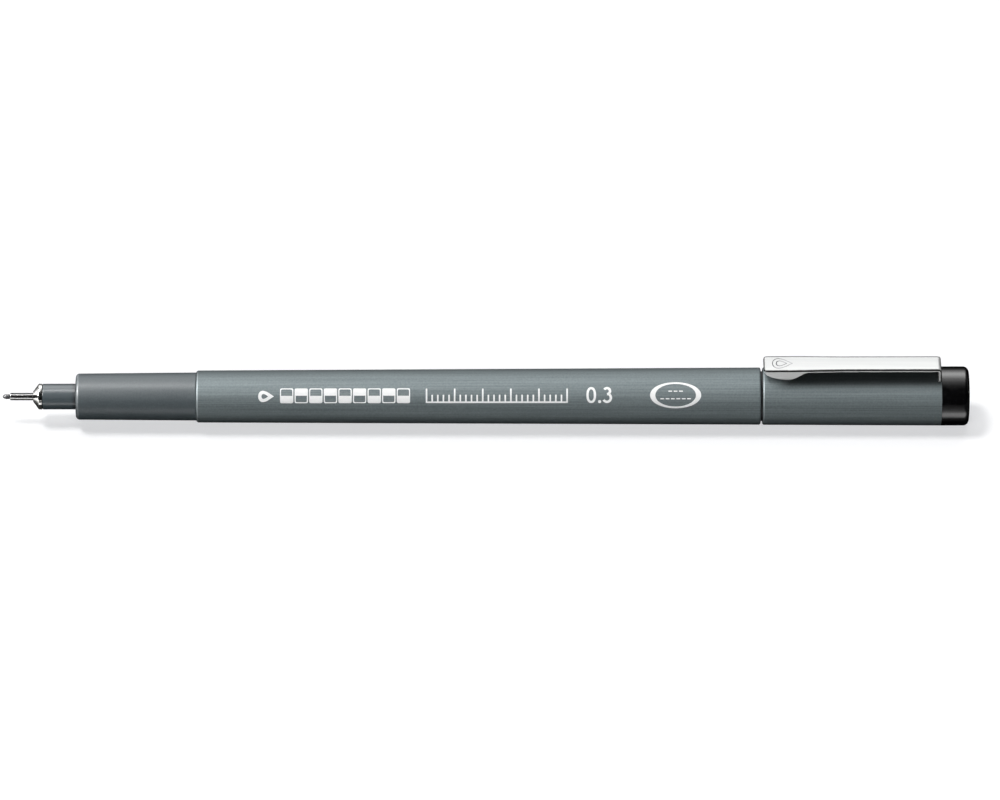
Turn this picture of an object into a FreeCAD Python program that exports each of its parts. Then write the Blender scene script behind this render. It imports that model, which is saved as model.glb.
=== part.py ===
"""Technical pen with a metal-clad tip, its cap posted on the tail.

The pen lies along X with its writing tip towards -X and the clip straight up (+Z).
The origin is below the middle of its length, on the surface that it lies on.
Every turned piece is drawn in its own frame, its axis on X, and is then placed at
its station along the pen. Millimetres throughout.
"""

import FreeCAD, Part
import os
import re

import Sketcher

# name: (millimetres, what it is)
SIZES = {
    # writing tip and its metal cladding
    "tip_width": (0.78, "diameter of the writing tip"),
    "tip_reach": (1.22, "writing tip that stands out of its tube"),
    "tip_nose": (0.85, "length of the tip's rounded nose"),
    "tip_root": (1.0, "writing tip pushed into the feed wick"),
    "tube_wall": (0.19, "wall of the steel tip tube"),
    "tube_reach": (3.70, "tip tube that stands out of the cone"),
    "tube_edge": (0.08, "rounding of the tube's mouth"),
    "tube_shank": (0.17, "step to the tube's thicker shank inside the cone"),
    "cone_length": (0.88, "length of the cone"),
    "cone_lip": (0.04, "flat lip of the cone's front, round the tube's shank"),
    "band_length": (0.55, "cylindrical band behind the cone"),
    "relief_length": (0.12, "dark groove between band and nib sleeve"),
    "relief_depth": (0.12, "depth of that groove"),
    "cone_round": (0.25, "rounding between cone and band"),
    "cone_spigot_length": (3.00, "length of the cone's spigot in the nib sleeve"),
    # nib sleeve and feed
    "sleeve_width": (4.14, "outer diameter of the nib sleeve and the cone"),
    "sleeve_wall": (0.60, "wall of the nib sleeve round the cone's spigot"),
    "sleeve_reach": (5.33, "nib sleeve that stands out of the grip"),
    "sleeve_seat": (4.00, "nib sleeve held in the grip's front hole"),
    "sleeve_flange_play": (0.15, "gap round the stop flange of the nib sleeve"),
    "sleeve_flange_length": (1.20, "thickness of that flange"),
    "sleeve_tail_wall": (0.65, "wall of the nib sleeve's rear tube"),
    "sleeve_tail_length": (4.00, "length of that tube"),
    "vent_width": (0.50, "air channel cut along the nib sleeve's flange"),
    "vent_depth": (0.35, "depth of that channel"),
    "wick_width": (2.06, "diameter of the feed wick"),
    "wick_point": (1.40, "pointed rear end of the wick"),
    "wick_bite": (5.60, "wick pushed into the reservoir"),
    # reservoir
    "reservoir_width": (5.60, "diameter of the fibre ink reservoir"),
    "wrap_wall": (0.12, "thickness of the film round the reservoir"),
    "wrap_short": (0.80, "bare fibre at each end of the film"),
    "air_gap": (0.60, "air space in front of and behind the reservoir"),
    # grip section
    "grip_length": (19.33, "visible length of the grip"),
    "grip_front_wall": (0.70, "wall of the grip at the front"),
    "grip_rear_wall": (0.86, "wall of the grip where it meets the barrel"),
    "grip_round": (0.55, "rounding of the grip's front edge"),
    "grip_spigot_wall": (0.45, "wall of the grip's spigot inside the barrel"),
    "grip_spigot_length": (8.00, "length of that spigot"),
    # barrel
    "barrel_length": (90.67, "length of the barrel"),
    "barrel_front_wall": (0.71, "wall of the barrel round the grip's spigot"),
    "barrel_rear_wall": (0.925, "wall of the barrel round the tail's spigot"),
    "barrel_front_round": (0.30, "rounding of the barrel's front edge"),
    "barrel_rear_round": (0.50, "rounding of the barrel's rear edge"),
    "rib_width": (0.50, "width of a reservoir rib in the barrel"),
    "rib_height": (0.55, "height of a rib above the barrel's bore"),
    # tail plug
    "tail_length": (9.80, "tail that the cap is posted on"),
    "tail_spigot_wall": (0.65, "wall of the tail plug's spigot in the barrel"),
    "tail_spigot_length": (7.50, "length of that spigot"),
    "tail_step": (0.35, "step between the tail and its spigot"),
    "tail_bead": (0.05, "height of the ring that the cap grips"),
    "tail_bead_length": (1.00, "length of that ring"),
    "tail_bead_place": (2.40, "start of that ring from the barrel"),
    "tail_round": (0.60, "rounding of the tail's end"),
    "tail_wall": (1.60, "end wall of the tail plug"),
    "tail_gate": (1.20, "moulding gate recess in the tail's end"),
    # cap
    "cap_gap": (0.29, "gap between barrel and posted cap"),
    "cap_slip": (0.03, "gap between the cap's bore and the tail's ring"),
    "shell_spare": (9.37, "cap shell behind the grip when the pen is capped"),
    "shell_mouth_wall": (0.535, "wall of the cap at its mouth"),
    "shell_end_wall": (0.67, "wall of the cap at its closed end"),
    "shell_round": (0.30, "rounding of the cap's mouth outside"),
    "shell_lead": (0.18, "chamfer of the cap's mouth inside"),
    "end_plug_dome": (0.22, "height of the dome on the end plug"),
    "end_plug_round": (0.90, "rounding of the end plug"),
    "end_plug_spigot": (5.00, "end plug's spigot inside the shell"),
    "end_plug_wall": (1.00, "end wall of the end plug"),
    # cap liner
    "liner_play": (0.06, "gap between the liner and the nib sleeve"),
    "liner_wall": (0.57, "wall and floor of the liner"),
    "liner_lead": (1.00, "depth of the funnel into the liner"),
    "liner_flare": (0.67, "widening of that funnel"),
    "liner_flange": (1.60, "thickness of the liner's flange"),
    "liner_air": (0.35, "space left in front of the capped writing tip"),
    "liner_space": (0.26, "space between the liner and the end plug's wall"),
    # clip
    "sheet": (0.43, "thickness of the clip's sheet steel"),
    "clip_free_width": (4.40, "width of the clip at its free end"),
    "clip_root_width": (3.96, "width of the clip at its bend"),
    "clip_gap": (1.29, "gap between the cap and the clip at its bend"),
    "clip_drop": (0.18, "fall of the clip's top towards its free end"),
    "clip_set_back": (0.10, "free end of the clip behind the cap's mouth"),
    "clip_bend": (0.65, "outer radius of the clip's bend"),
    "clip_corner": (0.65, "corner radius of the free end"),
    "wing_length": (6.80, "length of the folded wings"),
    "wing_low": (3.95, "lowest point of a wing from the free end"),
    "wing_round": (2.20, "rounding of a wing's lowest point"),
    "wing_sink": (0.45, "corner of a wing, before rounding, under the cap's top"),
    "foot_width": (3.00, "width of the clip's foot inside the cap"),
    "foot_length": (4.20, "length of the foot along the end plug"),
    "foot_sink": (0.34, "foot's top under the cap's bore"),
    # fits, each a gap on one side
    "press": (0.02, "gap between pieces pressed together"),
    "slip": (0.04, "gap between pieces that slide or turn"),
    "free": (0.08, "gap round the clip where it flexes"),
}
RIBS = 6
VENTS = 4

# Radii that follow from the pieces inside, so that every fit holds when one changes.
TUBE = "(tip_width / 2 + press + tube_wall)"
SHANK = f"({TUBE} + tube_shank)"
SLEEVE = "(sleeve_width / 2)"
CONE_SPIGOT = f"({SLEEVE} - sleeve_wall - press)"
WRAP = "(reservoir_width / 2 + wrap_wall)"
GRIP_BORE = f"({WRAP} + 2 * slip)"
GRIP_SPIGOT = f"({GRIP_BORE} + grip_spigot_wall)"
BARREL_BORE = f"({GRIP_BORE} + rib_height)"
TAIL_SPIGOT = f"({GRIP_BORE} + tail_spigot_wall)"
TAIL = f"({TAIL_SPIGOT} + tail_step)"
CAP_BORE = f"({TAIL} + tail_bead + cap_slip)"
CAP_END = f"({CAP_BORE} + shell_end_wall)"
LINER_BORE = f"({SLEEVE} + liner_play)"
LINER = f"({LINER_BORE} + liner_wall)"

# Stations along the pen, from the point of the writing tip.
AT_TUBE = "tip_reach"
AT_CONE = f"({AT_TUBE} + tube_reach)"
AT_SLEEVE = f"({AT_CONE} + cone_length + band_length + relief_length)"
AT_GRIP = f"({AT_SLEEVE} + sleeve_reach)"
AT_BARREL = f"({AT_GRIP} + grip_length)"
AT_TAIL = f"({AT_BARREL} + barrel_length)"
AT_CAP = f"({AT_TAIL} + cap_gap)"
AT_WICK = f"({AT_SLEEVE} + cone_spigot_length)"
SLEEVE_END = f"({AT_GRIP} + sleeve_seat + sleeve_flange_length + sleeve_tail_length)"
AT_RESERVOIR = f"({SLEEVE_END} + air_gap)"
RESERVOIR_END = f"({AT_TAIL} + tail_length - tail_wall - air_gap)"
# The capped pen fixes the cap's inner lengths: its mouth then meets the barrel.
SHELL = "(grip_length + shell_spare)"
AT_END_PLUG = f"({AT_CAP} + {SHELL})"
AT_LINER = f"({AT_CAP} + grip_length + press)"
LINER_DEPTH = f"({AT_GRIP} + liner_air)"
PLUG_FLOOR = f"({LINER_DEPTH} + liner_wall + liner_space + press - shell_spare)"
PLUG = f"({PLUG_FLOOR} + end_plug_wall - end_plug_dome)"
OVERALL = f"({AT_END_PLUG} + {PLUG} + end_plug_dome)"

# Heights of the clip above the pen's axis.
CLIP_TOP = f"({CAP_END} + clip_gap + sheet)"
CLIP_TIP_TOP = f"({CLIP_TOP} - clip_drop)"
FOOT_TOP = f"({CAP_BORE} - foot_sink)"
FLEX_LINE = f"({CAP_BORE} + free)"

DOC = FreeCAD.newDocument("technical_pen")


def make_sheet():
    """Writes the driving dimensions to a spreadsheet, one alias a row."""
    sheet = DOC.addObject("Spreadsheet::Sheet", "Sizes")
    for row, (name, (value, meaning)) in enumerate(SIZES.items(), start=1):
        sheet.set(f"A{row}", name)
        sheet.set(f"B{row}", str(value))
        sheet.set(f"C{row}", meaning)
        sheet.setAlias(f"B{row}", name)
    DOC.recompute()


def cells(text):
    """The expression text with each name of a size turned into its cell."""
    return re.sub(
        r"[a-z][a-z_]*", lambda m: f"Sizes.{m[0]}" if m[0] in SIZES else m[0], text
    )


def bind(thing, prop, text):
    """Ties a property to the sheet."""
    thing.setExpression(prop, cells(text))


def origin_part(body, role):
    """One of the body's own origin planes or axes."""
    return next(f for f in body.Origin.OriginFeatures if f.Role == role)


def new_body(label, station):
    """An empty body on the pen's axis at its station."""
    body = DOC.addObject("PartDesign::Body", label)
    body.Label = label
    bind(body, "Placement.Base.x", f"{station} - {OVERALL} / 2")
    bind(body, "Placement.Base.z", CAP_END)
    return body


def sketch_on(body, role, name, offset=None):
    """A sketch on one of the body's origin planes, moved along its normal."""
    sketch = body.newObject("Sketcher::SketchObject", f"{body.Label}_{name}")
    sketch.AttachmentSupport = (origin_part(body, role), [""])
    sketch.MapMode = "FlatFace"
    if offset:
        bind(sketch, "AttachmentOffset.Base.z", offset)
    return sketch


def outline(sketch, corners):
    """A closed outline of straight lines, each corner held by two dimensions.

    Returns the corners' places once the sketch is solved.
    """
    count = len(corners)
    start = [FreeCAD.Vector(1 + i % 5 + 0.1 * i, 1 + i, 0) for i in range(count)]
    for i in range(count):
        sketch.addGeometry(Part.LineSegment(start[i], start[(i + 1) % count]), False)
    for i in range(count):
        sketch.addConstraint(
            Sketcher.Constraint("Coincident", i, 2, (i + 1) % count, 1)
        )
    for i, (across, up) in enumerate(corners):
        for kind, text in (("DistanceX", across), ("DistanceY", up)):
            if text == "0" and kind == "DistanceY":
                sketch.addConstraint(Sketcher.Constraint("PointOnObject", i, 1, -1))
                continue
            if text == "0":
                sketch.addConstraint(Sketcher.Constraint("PointOnObject", i, 1, -2))
                continue
            index = sketch.addConstraint(
                Sketcher.Constraint(kind, -1, 1, i, 1, 1.0)
            )
            bind(sketch, f"Constraints[{index}]", text)
    DOC.recompute()
    return [line.StartPoint for line in sketch.Geometry]


def turned(label, station, corners):
    """A body turned about X. Corners are name: (along, radius)."""
    body = new_body(label, station)
    sketch = sketch_on(body, "XZ_Plane", "profile")
    places = outline(sketch, list(corners.values()))
    turn = body.newObject("PartDesign::Revolution", f"{label}_turn")
    turn.Profile = sketch
    turn.ReferenceAxis = (sketch, ["H_Axis"])
    turn.Angle = 360
    DOC.recompute()
    return body, dict(zip(corners, places, strict=True))


def rings(body, *places):
    """The names of the round edges that the given profile corners were turned into."""
    found = []
    for index, edge in enumerate(body.Tip.Shape.Edges, start=1):
        curve = edge.Curve
        if not isinstance(curve, Part.Circle):
            continue
        for place in places:
            same_radius = abs(curve.Radius - place.y) < 1e-5
            if same_radius and abs(curve.Center.x - place.x) < 1e-5:
                found.append(f"Edge{index}")
    return found


def dress(body, kind, name, edges, size_name):
    """A fillet or chamfer on the body's present shape."""
    if not edges:
        raise ValueError(f"{body.Label}: no edge found for {name}")
    base = body.Tip
    feature = body.newObject(f"PartDesign::{kind}", f"{body.Label}_{name}")
    feature.Base = (base, edges)
    bind(feature, "Radius" if kind == "Fillet" else "Size", size_name)
    DOC.recompute()
    return feature


def rectangle(sketch, low, high):
    """A rectangle between two corners."""
    (x0, y0), (x1, y1) = low, high
    outline(sketch, [(x0, y0), (x1, y0), (x1, y1), (x0, y1)])


def extruded(body, kind, sketch, name, length, midplane=False):
    """A pad or pocket of the sketch, stopped if it changes nothing."""
    before = body.Tip.Shape.Volume if body.Tip else 0
    feature = body.newObject(f"PartDesign::{kind}", f"{body.Label}_{name}")
    feature.Profile = sketch
    feature.Midplane = midplane
    bind(feature, "Length", length)
    DOC.recompute()
    change = feature.Shape.Volume - before
    if abs(change) < 1e-6 or (change < 0) != (kind == "Pocket"):
        raise RuntimeError(f"{feature.Label} changed the volume by {change:.6f}")
    return feature


def repeated(body, feature, count, name):
    """The feature repeated round the body's X axis."""
    pattern = body.newObject("PartDesign::PolarPattern", f"{body.Label}_{name}")
    pattern.Originals = [feature]
    pattern.Axis = (origin_part(body, "X_Axis"), [""])
    pattern.Angle = 360
    pattern.Occurrences = count
    body.Tip = pattern
    DOC.recompute()
    return pattern


def domed(body, name, place, height, radius, towards_tip=False):
    """Adds half an ellipsoid, its flat side across the axis at place."""
    dome = body.newObject("PartDesign::AdditiveEllipsoid", f"{body.Label}_{name}")
    dome.AttachmentSupport = (origin_part(body, "YZ_Plane"), [""])
    dome.MapMode = "FlatFace"
    bind(dome, "AttachmentOffset.Base.z", place)
    bind(dome, "Radius1", height)
    bind(dome, "Radius2", radius)
    bind(dome, "Radius3", radius)
    dome.Angle1 = -90 if towards_tip else 0
    dome.Angle2 = 0 if towards_tip else 90
    DOC.recompute()
    return dome


def tube_corners(start, end, inner, outer):
    """Profile of a plain tube, from its start to its end."""
    return {
        "front_inner": (start, inner),
        "front_outer": (start, outer),
        "rear_outer": (end, outer),
        "rear_inner": (end, inner),
    }


def writing_tip():
    """Capillary plastic core with a rounded nose, pushed through its tube."""
    length = f"{AT_WICK} + tip_root"
    radius = "tip_width / 2"
    corners = {
        "nose_axis": ("tip_nose", "0"),
        "nose": ("tip_nose", radius),
        "rear": (length, radius),
        "rear_axis": (length, "0"),
    }
    body, _ = turned("writing_tip", "0", corners)
    domed(body, "nose", "tip_nose", "tip_nose", radius, towards_tip=True)
    return body


def nib_tube():
    """Drawn steel tube round the writing tip, its thicker shank held in the cone."""
    length = f"{AT_WICK} - {AT_TUBE}"
    bore = "tip_width / 2 + press"
    corners = {
        "front_inner": ("0", bore),
        "front_outer": ("0", TUBE),
        "step": ("tube_reach", TUBE),
        "shank": ("tube_reach", SHANK),
        "rear_outer": (length, SHANK),
        "rear_inner": (length, bore),
    }
    body, corner = turned("nib_tube", AT_TUBE, corners)
    dress(body, "Fillet", "mouth", rings(body, corner["front_outer"]), "tube_edge")
    return body


def nib_cone():
    """Polished ferrule: cone, band, relief groove and a spigot for the sleeve."""
    bore = f"{SHANK} + press"
    band = "cone_length + band_length"
    shoulder = f"{band} + relief_length"
    rear = f"{shoulder} + cone_spigot_length"
    groove = f"{SLEEVE} - relief_depth"
    corners = {
        "front_inner": ("0", bore),
        "front_outer": ("0", f"{bore} + cone_lip"),
        "cone_end": ("cone_length", SLEEVE),
        "band_end": (band, SLEEVE),
        "relief": (band, groove),
        "shoulder": (shoulder, groove),
        "spigot": (shoulder, CONE_SPIGOT),
        "rear_outer": (rear, CONE_SPIGOT),
        "rear_inner": (rear, bore),
    }
    body, corner = turned("nib_cone", AT_CONE, corners)
    dress(body, "Fillet", "shoulder", rings(body, corner["cone_end"]), "cone_round")
    return body


def nib_sleeve():
    """Plastic nib carrier: front tube, stop flange with air channels, rear tube."""
    flange_radius = f"{GRIP_BORE} - sleeve_flange_play"
    flange = "sleeve_reach + sleeve_seat"
    tail = f"{flange} + sleeve_flange_length"
    rear = f"{tail} + sleeve_tail_length"
    bore = "wick_width / 2 + press"
    corners = {
        "front_inner": ("0", f"{CONE_SPIGOT} + press"),
        "front_outer": ("0", SLEEVE),
        "flange_foot": (flange, SLEEVE),
        "flange_front": (flange, flange_radius),
        "flange_rear": (tail, flange_radius),
        "tail_foot": (tail, f"{bore} + sleeve_tail_wall"),
        "rear_outer": (rear, f"{bore} + sleeve_tail_wall"),
        "rear_inner": (rear, bore),
        "socket_inner": ("cone_spigot_length", bore),
        "socket_outer": ("cone_spigot_length", f"{CONE_SPIGOT} + press"),
    }
    body, _ = turned("nib_sleeve", AT_SLEEVE, corners)
    cut = sketch_on(body, "YZ_Plane", "vent_outline", tail)
    low = ("-vent_width / 2", f"{flange_radius} - vent_depth")
    rectangle(cut, low, ("vent_width / 2", f"{flange_radius} + vent_depth"))
    vent = extruded(body, "Pocket", cut, "vent", "sleeve_flange_length")
    repeated(body, vent, VENTS, "vents")
    return body


def feed_wick():
    """Fibre wick that carries ink from the reservoir to the writing tip."""
    rear = f"{AT_RESERVOIR} + wick_bite - {AT_WICK}"
    pocket = "tip_width / 2 + press"
    corners = {
        "front_inner": ("press", pocket),
        "front_outer": ("press", "wick_width / 2"),
        "point_start": (f"{rear} - wick_point", "wick_width / 2"),
        "point": (rear, "0"),
        "pocket_axis": ("tip_root + press", "0"),
        "pocket_end": ("tip_root + press", pocket),
    }
    return turned("feed_wick", AT_WICK, corners)[0]


def grip_section():
    """Matt grip: front hole for the nib sleeve, spigot for the barrel."""
    rear = "grip_length + grip_spigot_length"
    corners = {
        "front_inner": ("0", f"{SLEEVE} + press"),
        "front_outer": ("0", f"{GRIP_BORE} + grip_front_wall"),
        "rear_outer": ("grip_length", f"{GRIP_BORE} + grip_rear_wall"),
        "spigot_foot": ("grip_length", GRIP_SPIGOT),
        "spigot_end": (rear, GRIP_SPIGOT),
        "bore_end": (rear, GRIP_BORE),
        "bore_foot": ("sleeve_seat", GRIP_BORE),
        "seat": ("sleeve_seat", f"{SLEEVE} + press"),
    }
    body, corner = turned("grip_section", AT_GRIP, corners)
    dress(body, "Fillet", "front", rings(body, corner["front_outer"]), "grip_round")
    return body


def barrel_tube():
    """Tapered barrel with ribs inside that hold the reservoir."""
    front_socket = f"{GRIP_SPIGOT} + press"
    rear_socket = f"{TAIL_SPIGOT} + press"
    front_end = "grip_spigot_length + press"
    rear_end = "barrel_length - tail_spigot_length - press"
    corners = {
        "front_inner": ("0", front_socket),
        "front_outer": ("0", f"{front_socket} + barrel_front_wall"),
        "rear_outer": ("barrel_length", f"{rear_socket} + barrel_rear_wall"),
        "rear_inner": ("barrel_length", rear_socket),
        "rear_socket": (rear_end, rear_socket),
        "bore_rear": (rear_end, BARREL_BORE),
        "bore_front": (front_end, BARREL_BORE),
        "front_socket": (front_end, front_socket),
    }
    body, corner = turned("barrel_tube", AT_BARREL, corners)
    for end in ("front", "rear"):
        edges = rings(body, corner[f"{end}_outer"])
        dress(body, "Fillet", end, edges, f"barrel_{end}_round")
    rib_start = "grip_spigot_length + air_gap"
    rib_length = f"{rear_end} - air_gap - ({rib_start})"
    rib_sketch = sketch_on(body, "YZ_Plane", "rib_outline", rib_start)
    low = ("-rib_width / 2", f"{WRAP} + slip")
    rectangle(rib_sketch, low, ("rib_width / 2", f"{BARREL_BORE} + 4 * press"))
    rib = extruded(body, "Pad", rib_sketch, "rib", rib_length)
    repeated(body, rib, RIBS, "ribs")
    return body


def ink_reservoir():
    """Fibre rod that holds the ink, with the hole that the wick is pushed into."""
    length = f"{RESERVOIR_END} - {AT_RESERVOIR}"
    hole = "wick_width / 2 + press"
    corners = {
        "front_inner": ("0", hole),
        "front_outer": ("0", "reservoir_width / 2"),
        "rear_outer": (length, "reservoir_width / 2"),
        "rear_axis": (length, "0"),
        "hole_point": ("wick_bite + press", "0"),
        "hole_foot": ("wick_bite + press - wick_point", hole),
    }
    return turned("ink_reservoir", AT_RESERVOIR, corners)[0]


def reservoir_wrap():
    """Clear film drawn round the fibre rod."""
    length = f"{RESERVOIR_END} - {AT_RESERVOIR} - 2 * wrap_short"
    corners = tube_corners("0", length, "reservoir_width / 2 + press", WRAP)
    return turned("reservoir_wrap", f"{AT_RESERVOIR} + wrap_short", corners)[0]


def tail_plug():
    """Stepped plug that closes the barrel and carries the posted cap."""
    bead = f"{TAIL} + tail_bead"
    bead_end = "tail_bead_place + tail_bead_length"
    gate_foot = "tail_length - tail_gate / 3"
    corners = {
        "spigot_inner": ("-tail_spigot_length", GRIP_BORE),
        "spigot_outer": ("-tail_spigot_length", TAIL_SPIGOT),
        "shoulder_foot": ("press", TAIL_SPIGOT),
        "shoulder": ("press", TAIL),
        "bead_start": ("tail_bead_place", TAIL),
        "bead_front": ("tail_bead_place + tail_bead", bead),
        "bead_rear": (f"{bead_end} - tail_bead", bead),
        "bead_end": (bead_end, TAIL),
        "end_outer": ("tail_length", TAIL),
        "gate_outer": ("tail_length", "tail_gate / 2"),
        "gate_foot": (gate_foot, "tail_gate / 2"),
        "gate_axis": (gate_foot, "0"),
        "wall_axis": ("tail_length - tail_wall", "0"),
        "wall": ("tail_length - tail_wall", GRIP_BORE),
    }
    body, corner = turned("tail_plug", AT_TAIL, corners)
    dress(body, "Fillet", "end", rings(body, corner["end_outer"]), "tail_round")
    return body


def cap_shell():
    """Tapered cap tube, open at its mouth, notched for the clip at its end."""
    corners = {
        "lead": ("0", f"{CAP_BORE} + shell_lead"),
        "mouth_outer": ("0", f"{CAP_BORE} + shell_mouth_wall"),
        "end_outer": (SHELL, f"{CAP_END} - press / 4"),
        "end_inner": (SHELL, CAP_BORE),
        "lead_end": ("shell_lead", CAP_BORE),
    }
    body, corner = turned("cap_shell", AT_CAP, corners)
    mouth = rings(body, corner["mouth_outer"])
    dress(body, "Fillet", "mouth", mouth, "shell_round")
    notch = sketch_on(body, "YZ_Plane", "notch_outline", SHELL)
    half_width = "(clip_root_width / 2 + free)"
    rectangle(notch, (f"-{half_width}", f"{CAP_BORE} / 2"), (half_width, f"2 * {CAP_END}"))
    extruded(body, "Pocket", notch, "notch", "sheet + 2 * free")
    return body


def cap_liner():
    """Inner cap that closes round the nib sleeve and keeps the tip wet."""
    flange = f"{CAP_BORE} - slip"
    corners = {
        "funnel_mouth": ("0", f"{LINER_BORE} + liner_flare"),
        "flange_front": ("0", flange),
        "flange_rear": ("liner_flange", flange),
        "tube_foot": ("liner_flange", LINER),
        "end_outer": (f"{LINER_DEPTH} + liner_wall", LINER),
        "end_axis": (f"{LINER_DEPTH} + liner_wall", "0"),
        "floor_axis": (LINER_DEPTH, "0"),
        "floor": (LINER_DEPTH, LINER_BORE),
        "funnel_end": ("liner_lead", LINER_BORE),
    }
    return turned("cap_liner", AT_LINER, corners)[0]


def cap_end_plug():
    """Gloss black end of the cap, with a recess in its spigot for the clip's foot."""
    bore = f"{LINER} + slip"
    spigot = f"{CAP_BORE} - press"
    corners = {
        "spigot_inner": ("-end_plug_spigot", bore),
        "spigot_outer": ("-end_plug_spigot", spigot),
        "shoulder_foot": ("press", spigot),
        "shoulder": ("press", CAP_END),
        "end_outer": (PLUG, CAP_END),
        "end_axis": (PLUG, "0"),
        "floor_axis": (PLUG_FLOOR, "0"),
        "floor": (PLUG_FLOOR, bore),
    }
    body, corner = turned("cap_end_plug", AT_END_PLUG, corners)
    dress(body, "Fillet", "end", rings(body, corner["end_outer"]), "end_plug_round")
    domed(body, "dome", PLUG, "end_plug_dome", f"{CAP_END} - end_plug_round")
    recess = sketch_on(body, "YZ_Plane", "recess_outline")
    half_width = "(foot_width / 2 + press)"
    low = (f"-{half_width}", f"{FOOT_TOP} - sheet - press")
    rectangle(recess, low, (half_width, f"2 * {CAP_BORE}"))
    extruded(body, "Pocket", recess, "recess", "end_plug_spigot + press")
    return body


def clip_foot():
    """The clip's tongue inside the cap, gripped between end plug and shell."""
    body = new_body("clip_foot", AT_END_PLUG)
    side = sketch_on(body, "XZ_Plane", "side")
    corners = [
        ("-free", f"{FOOT_TOP} - sheet"),
        ("-free", f"{FLEX_LINE} - free / 2"),
        ("-free - sheet", f"{FLEX_LINE} - free / 2"),
        ("-free - sheet", FOOT_TOP),
        ("-foot_length", FOOT_TOP),
        ("-foot_length", f"{FOOT_TOP} - sheet"),
    ]
    outline(side, corners)
    extruded(body, "Pad", side, "strip", "foot_width", midplane=True)
    return body


def straight_edges(body, along, near):
    """Names of the straight edges along a direction whose middle is near a place."""
    names = []
    for index, edge in enumerate(body.Tip.Shape.Edges, start=1):
        if not isinstance(edge.Curve, Part.Line):
            continue
        parallel = abs(edge.Curve.Direction.dot(along)) > 0.9999
        if parallel and near(edge.CenterOfMass):
            names.append(f"Edge{index}")
    return names


def clip_strip(body):
    """The clip's bent strip, tapered in plan, with its bend and corners rounded."""
    back = f"{SHELL} - free"
    inner = f"{back} - sheet"
    side = sketch_on(body, "XZ_Plane", "side")
    corners = {
        "free_top": ("clip_set_back", CLIP_TIP_TOP),
        "outer_bend": (back, CLIP_TOP),
        "leg_back": (back, FLEX_LINE),
        "leg_front": (inner, FLEX_LINE),
        "inner_bend": (inner, f"{CLIP_TOP} - sheet"),
        "free_under": ("clip_set_back", f"{CLIP_TIP_TOP} - sheet"),
    }
    places = dict(zip(corners, outline(side, list(corners.values())), strict=True))
    extruded(body, "Pad", side, "strip", "clip_free_width", midplane=True)
    across = FreeCAD.Vector(0, 1, 0)
    for name, radius in (("inner_bend", "clip_bend - sheet"), ("outer_bend", "clip_bend")):
        at = places[name]
        edges = straight_edges(
            body, across, lambda p, at=at: abs(p.x - at.x) + abs(p.z - at.y) < 0.01
        )
        dress(body, "Fillet", name, edges, radius)
    free_end = places["free_top"].x
    edges = straight_edges(
        body, FreeCAD.Vector(0, 0, 1), lambda p: abs(p.x - free_end) < 0.01
    )
    dress(body, "Fillet", "corners", edges, "clip_corner")
    taper_start = "clip_set_back + wing_length"
    for name, sign in (("left", "-"), ("right", "")):
        trim = sketch_on(body, "XY_Plane", f"{name}_taper", f"{CLIP_TOP} + sheet")
        beyond = f"{back} + sheet"
        corners = [
            (taper_start, f"{sign}clip_free_width / 2"),
            (beyond, f"{sign}clip_root_width / 2"),
            (beyond, f"{sign}clip_free_width"),
            (taper_start, f"{sign}clip_free_width"),
        ]
        outline(trim, corners)
        extruded(body, "Pocket", trim, f"{name}_trim", CLIP_TOP)


def clip_wings(body):
    """The two leaf-shaped wings folded down from the clip's free end."""
    top = f"{CLIP_TIP_TOP} - sheet / 2"
    outline_sketch = sketch_on(body, "XZ_Plane", "wing_outline", "-clip_free_width / 2")
    corners = {
        "front": ("clip_set_back + clip_corner", top),
        "rear": ("clip_set_back + wing_length", top),
        "low": ("clip_set_back + wing_low", f"{CAP_END} - wing_sink"),
    }
    places = dict(zip(corners, outline(outline_sketch, list(corners.values())), strict=True))
    wing = extruded(body, "Pad", outline_sketch, "wing", "sheet")
    mirror = body.newObject("PartDesign::Mirrored", "clip_arm_wings")
    mirror.Originals = [wing]
    mirror.MirrorPlane = (origin_part(body, "XZ_Plane"), [""])
    body.Tip = mirror
    DOC.recompute()
    low = places["low"]
    edges = straight_edges(
        body,
        FreeCAD.Vector(0, 1, 0),
        lambda p: abs(p.x - low.x) + abs(p.z - low.y) < 0.01,
    )
    dress(body, "Fillet", "wing_bottoms", edges, "wing_round")


def clip_arm():
    """Sheet steel clip: bent leg, tapered arm and two folded wings at its end."""
    body = new_body("clip_arm", AT_CAP)
    clip_strip(body)
    clip_wings(body)
    return body


def check(bodies):
    """Stops if an object failed, or a body is empty, broken or in pieces."""
    for thing in DOC.Objects:
        if {"Invalid", "Error"} & set(thing.State):
            raise RuntimeError(f"{thing.Label} failed: {thing.State}")
    for body in bodies:
        shape = body.Shape
        if shape.isNull() or not shape.isValid() or len(shape.Solids) != 1:
            raise RuntimeError(f"{body.Label} has no sound single solid")


def main():
    """Builds every piece and writes each one as a STEP file."""
    make_sheet()
    makers = (
        writing_tip,
        nib_tube,
        nib_cone,
        nib_sleeve,
        feed_wick,
        grip_section,
        barrel_tube,
        ink_reservoir,
        reservoir_wrap,
        tail_plug,
        cap_shell,
        cap_liner,
        cap_end_plug,
        clip_foot,
        clip_arm,
    )
    bodies = [make() for make in makers]
    DOC.recompute()
    check(bodies)
    os.makedirs("parts", exist_ok=True)
    for body in bodies:
        body.Shape.exportStep(f"parts/{body.Label}.step")
        box = body.Shape.BoundBox
        print(f"{body.Label}: x {box.XMin:.2f} to {box.XMax:.2f}")


main()
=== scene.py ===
"""The finished look of a technical pen lying with its cap posted on its tail.

The pen lies along X with its writing tip towards -X and the clip straight up.
Sizes in the classes are millimetres, and every mesh is written in metres.
"""

import logging
import math
from collections.abc import Callable, Sequence
from dataclasses import dataclass, field
from enum import Enum

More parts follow.
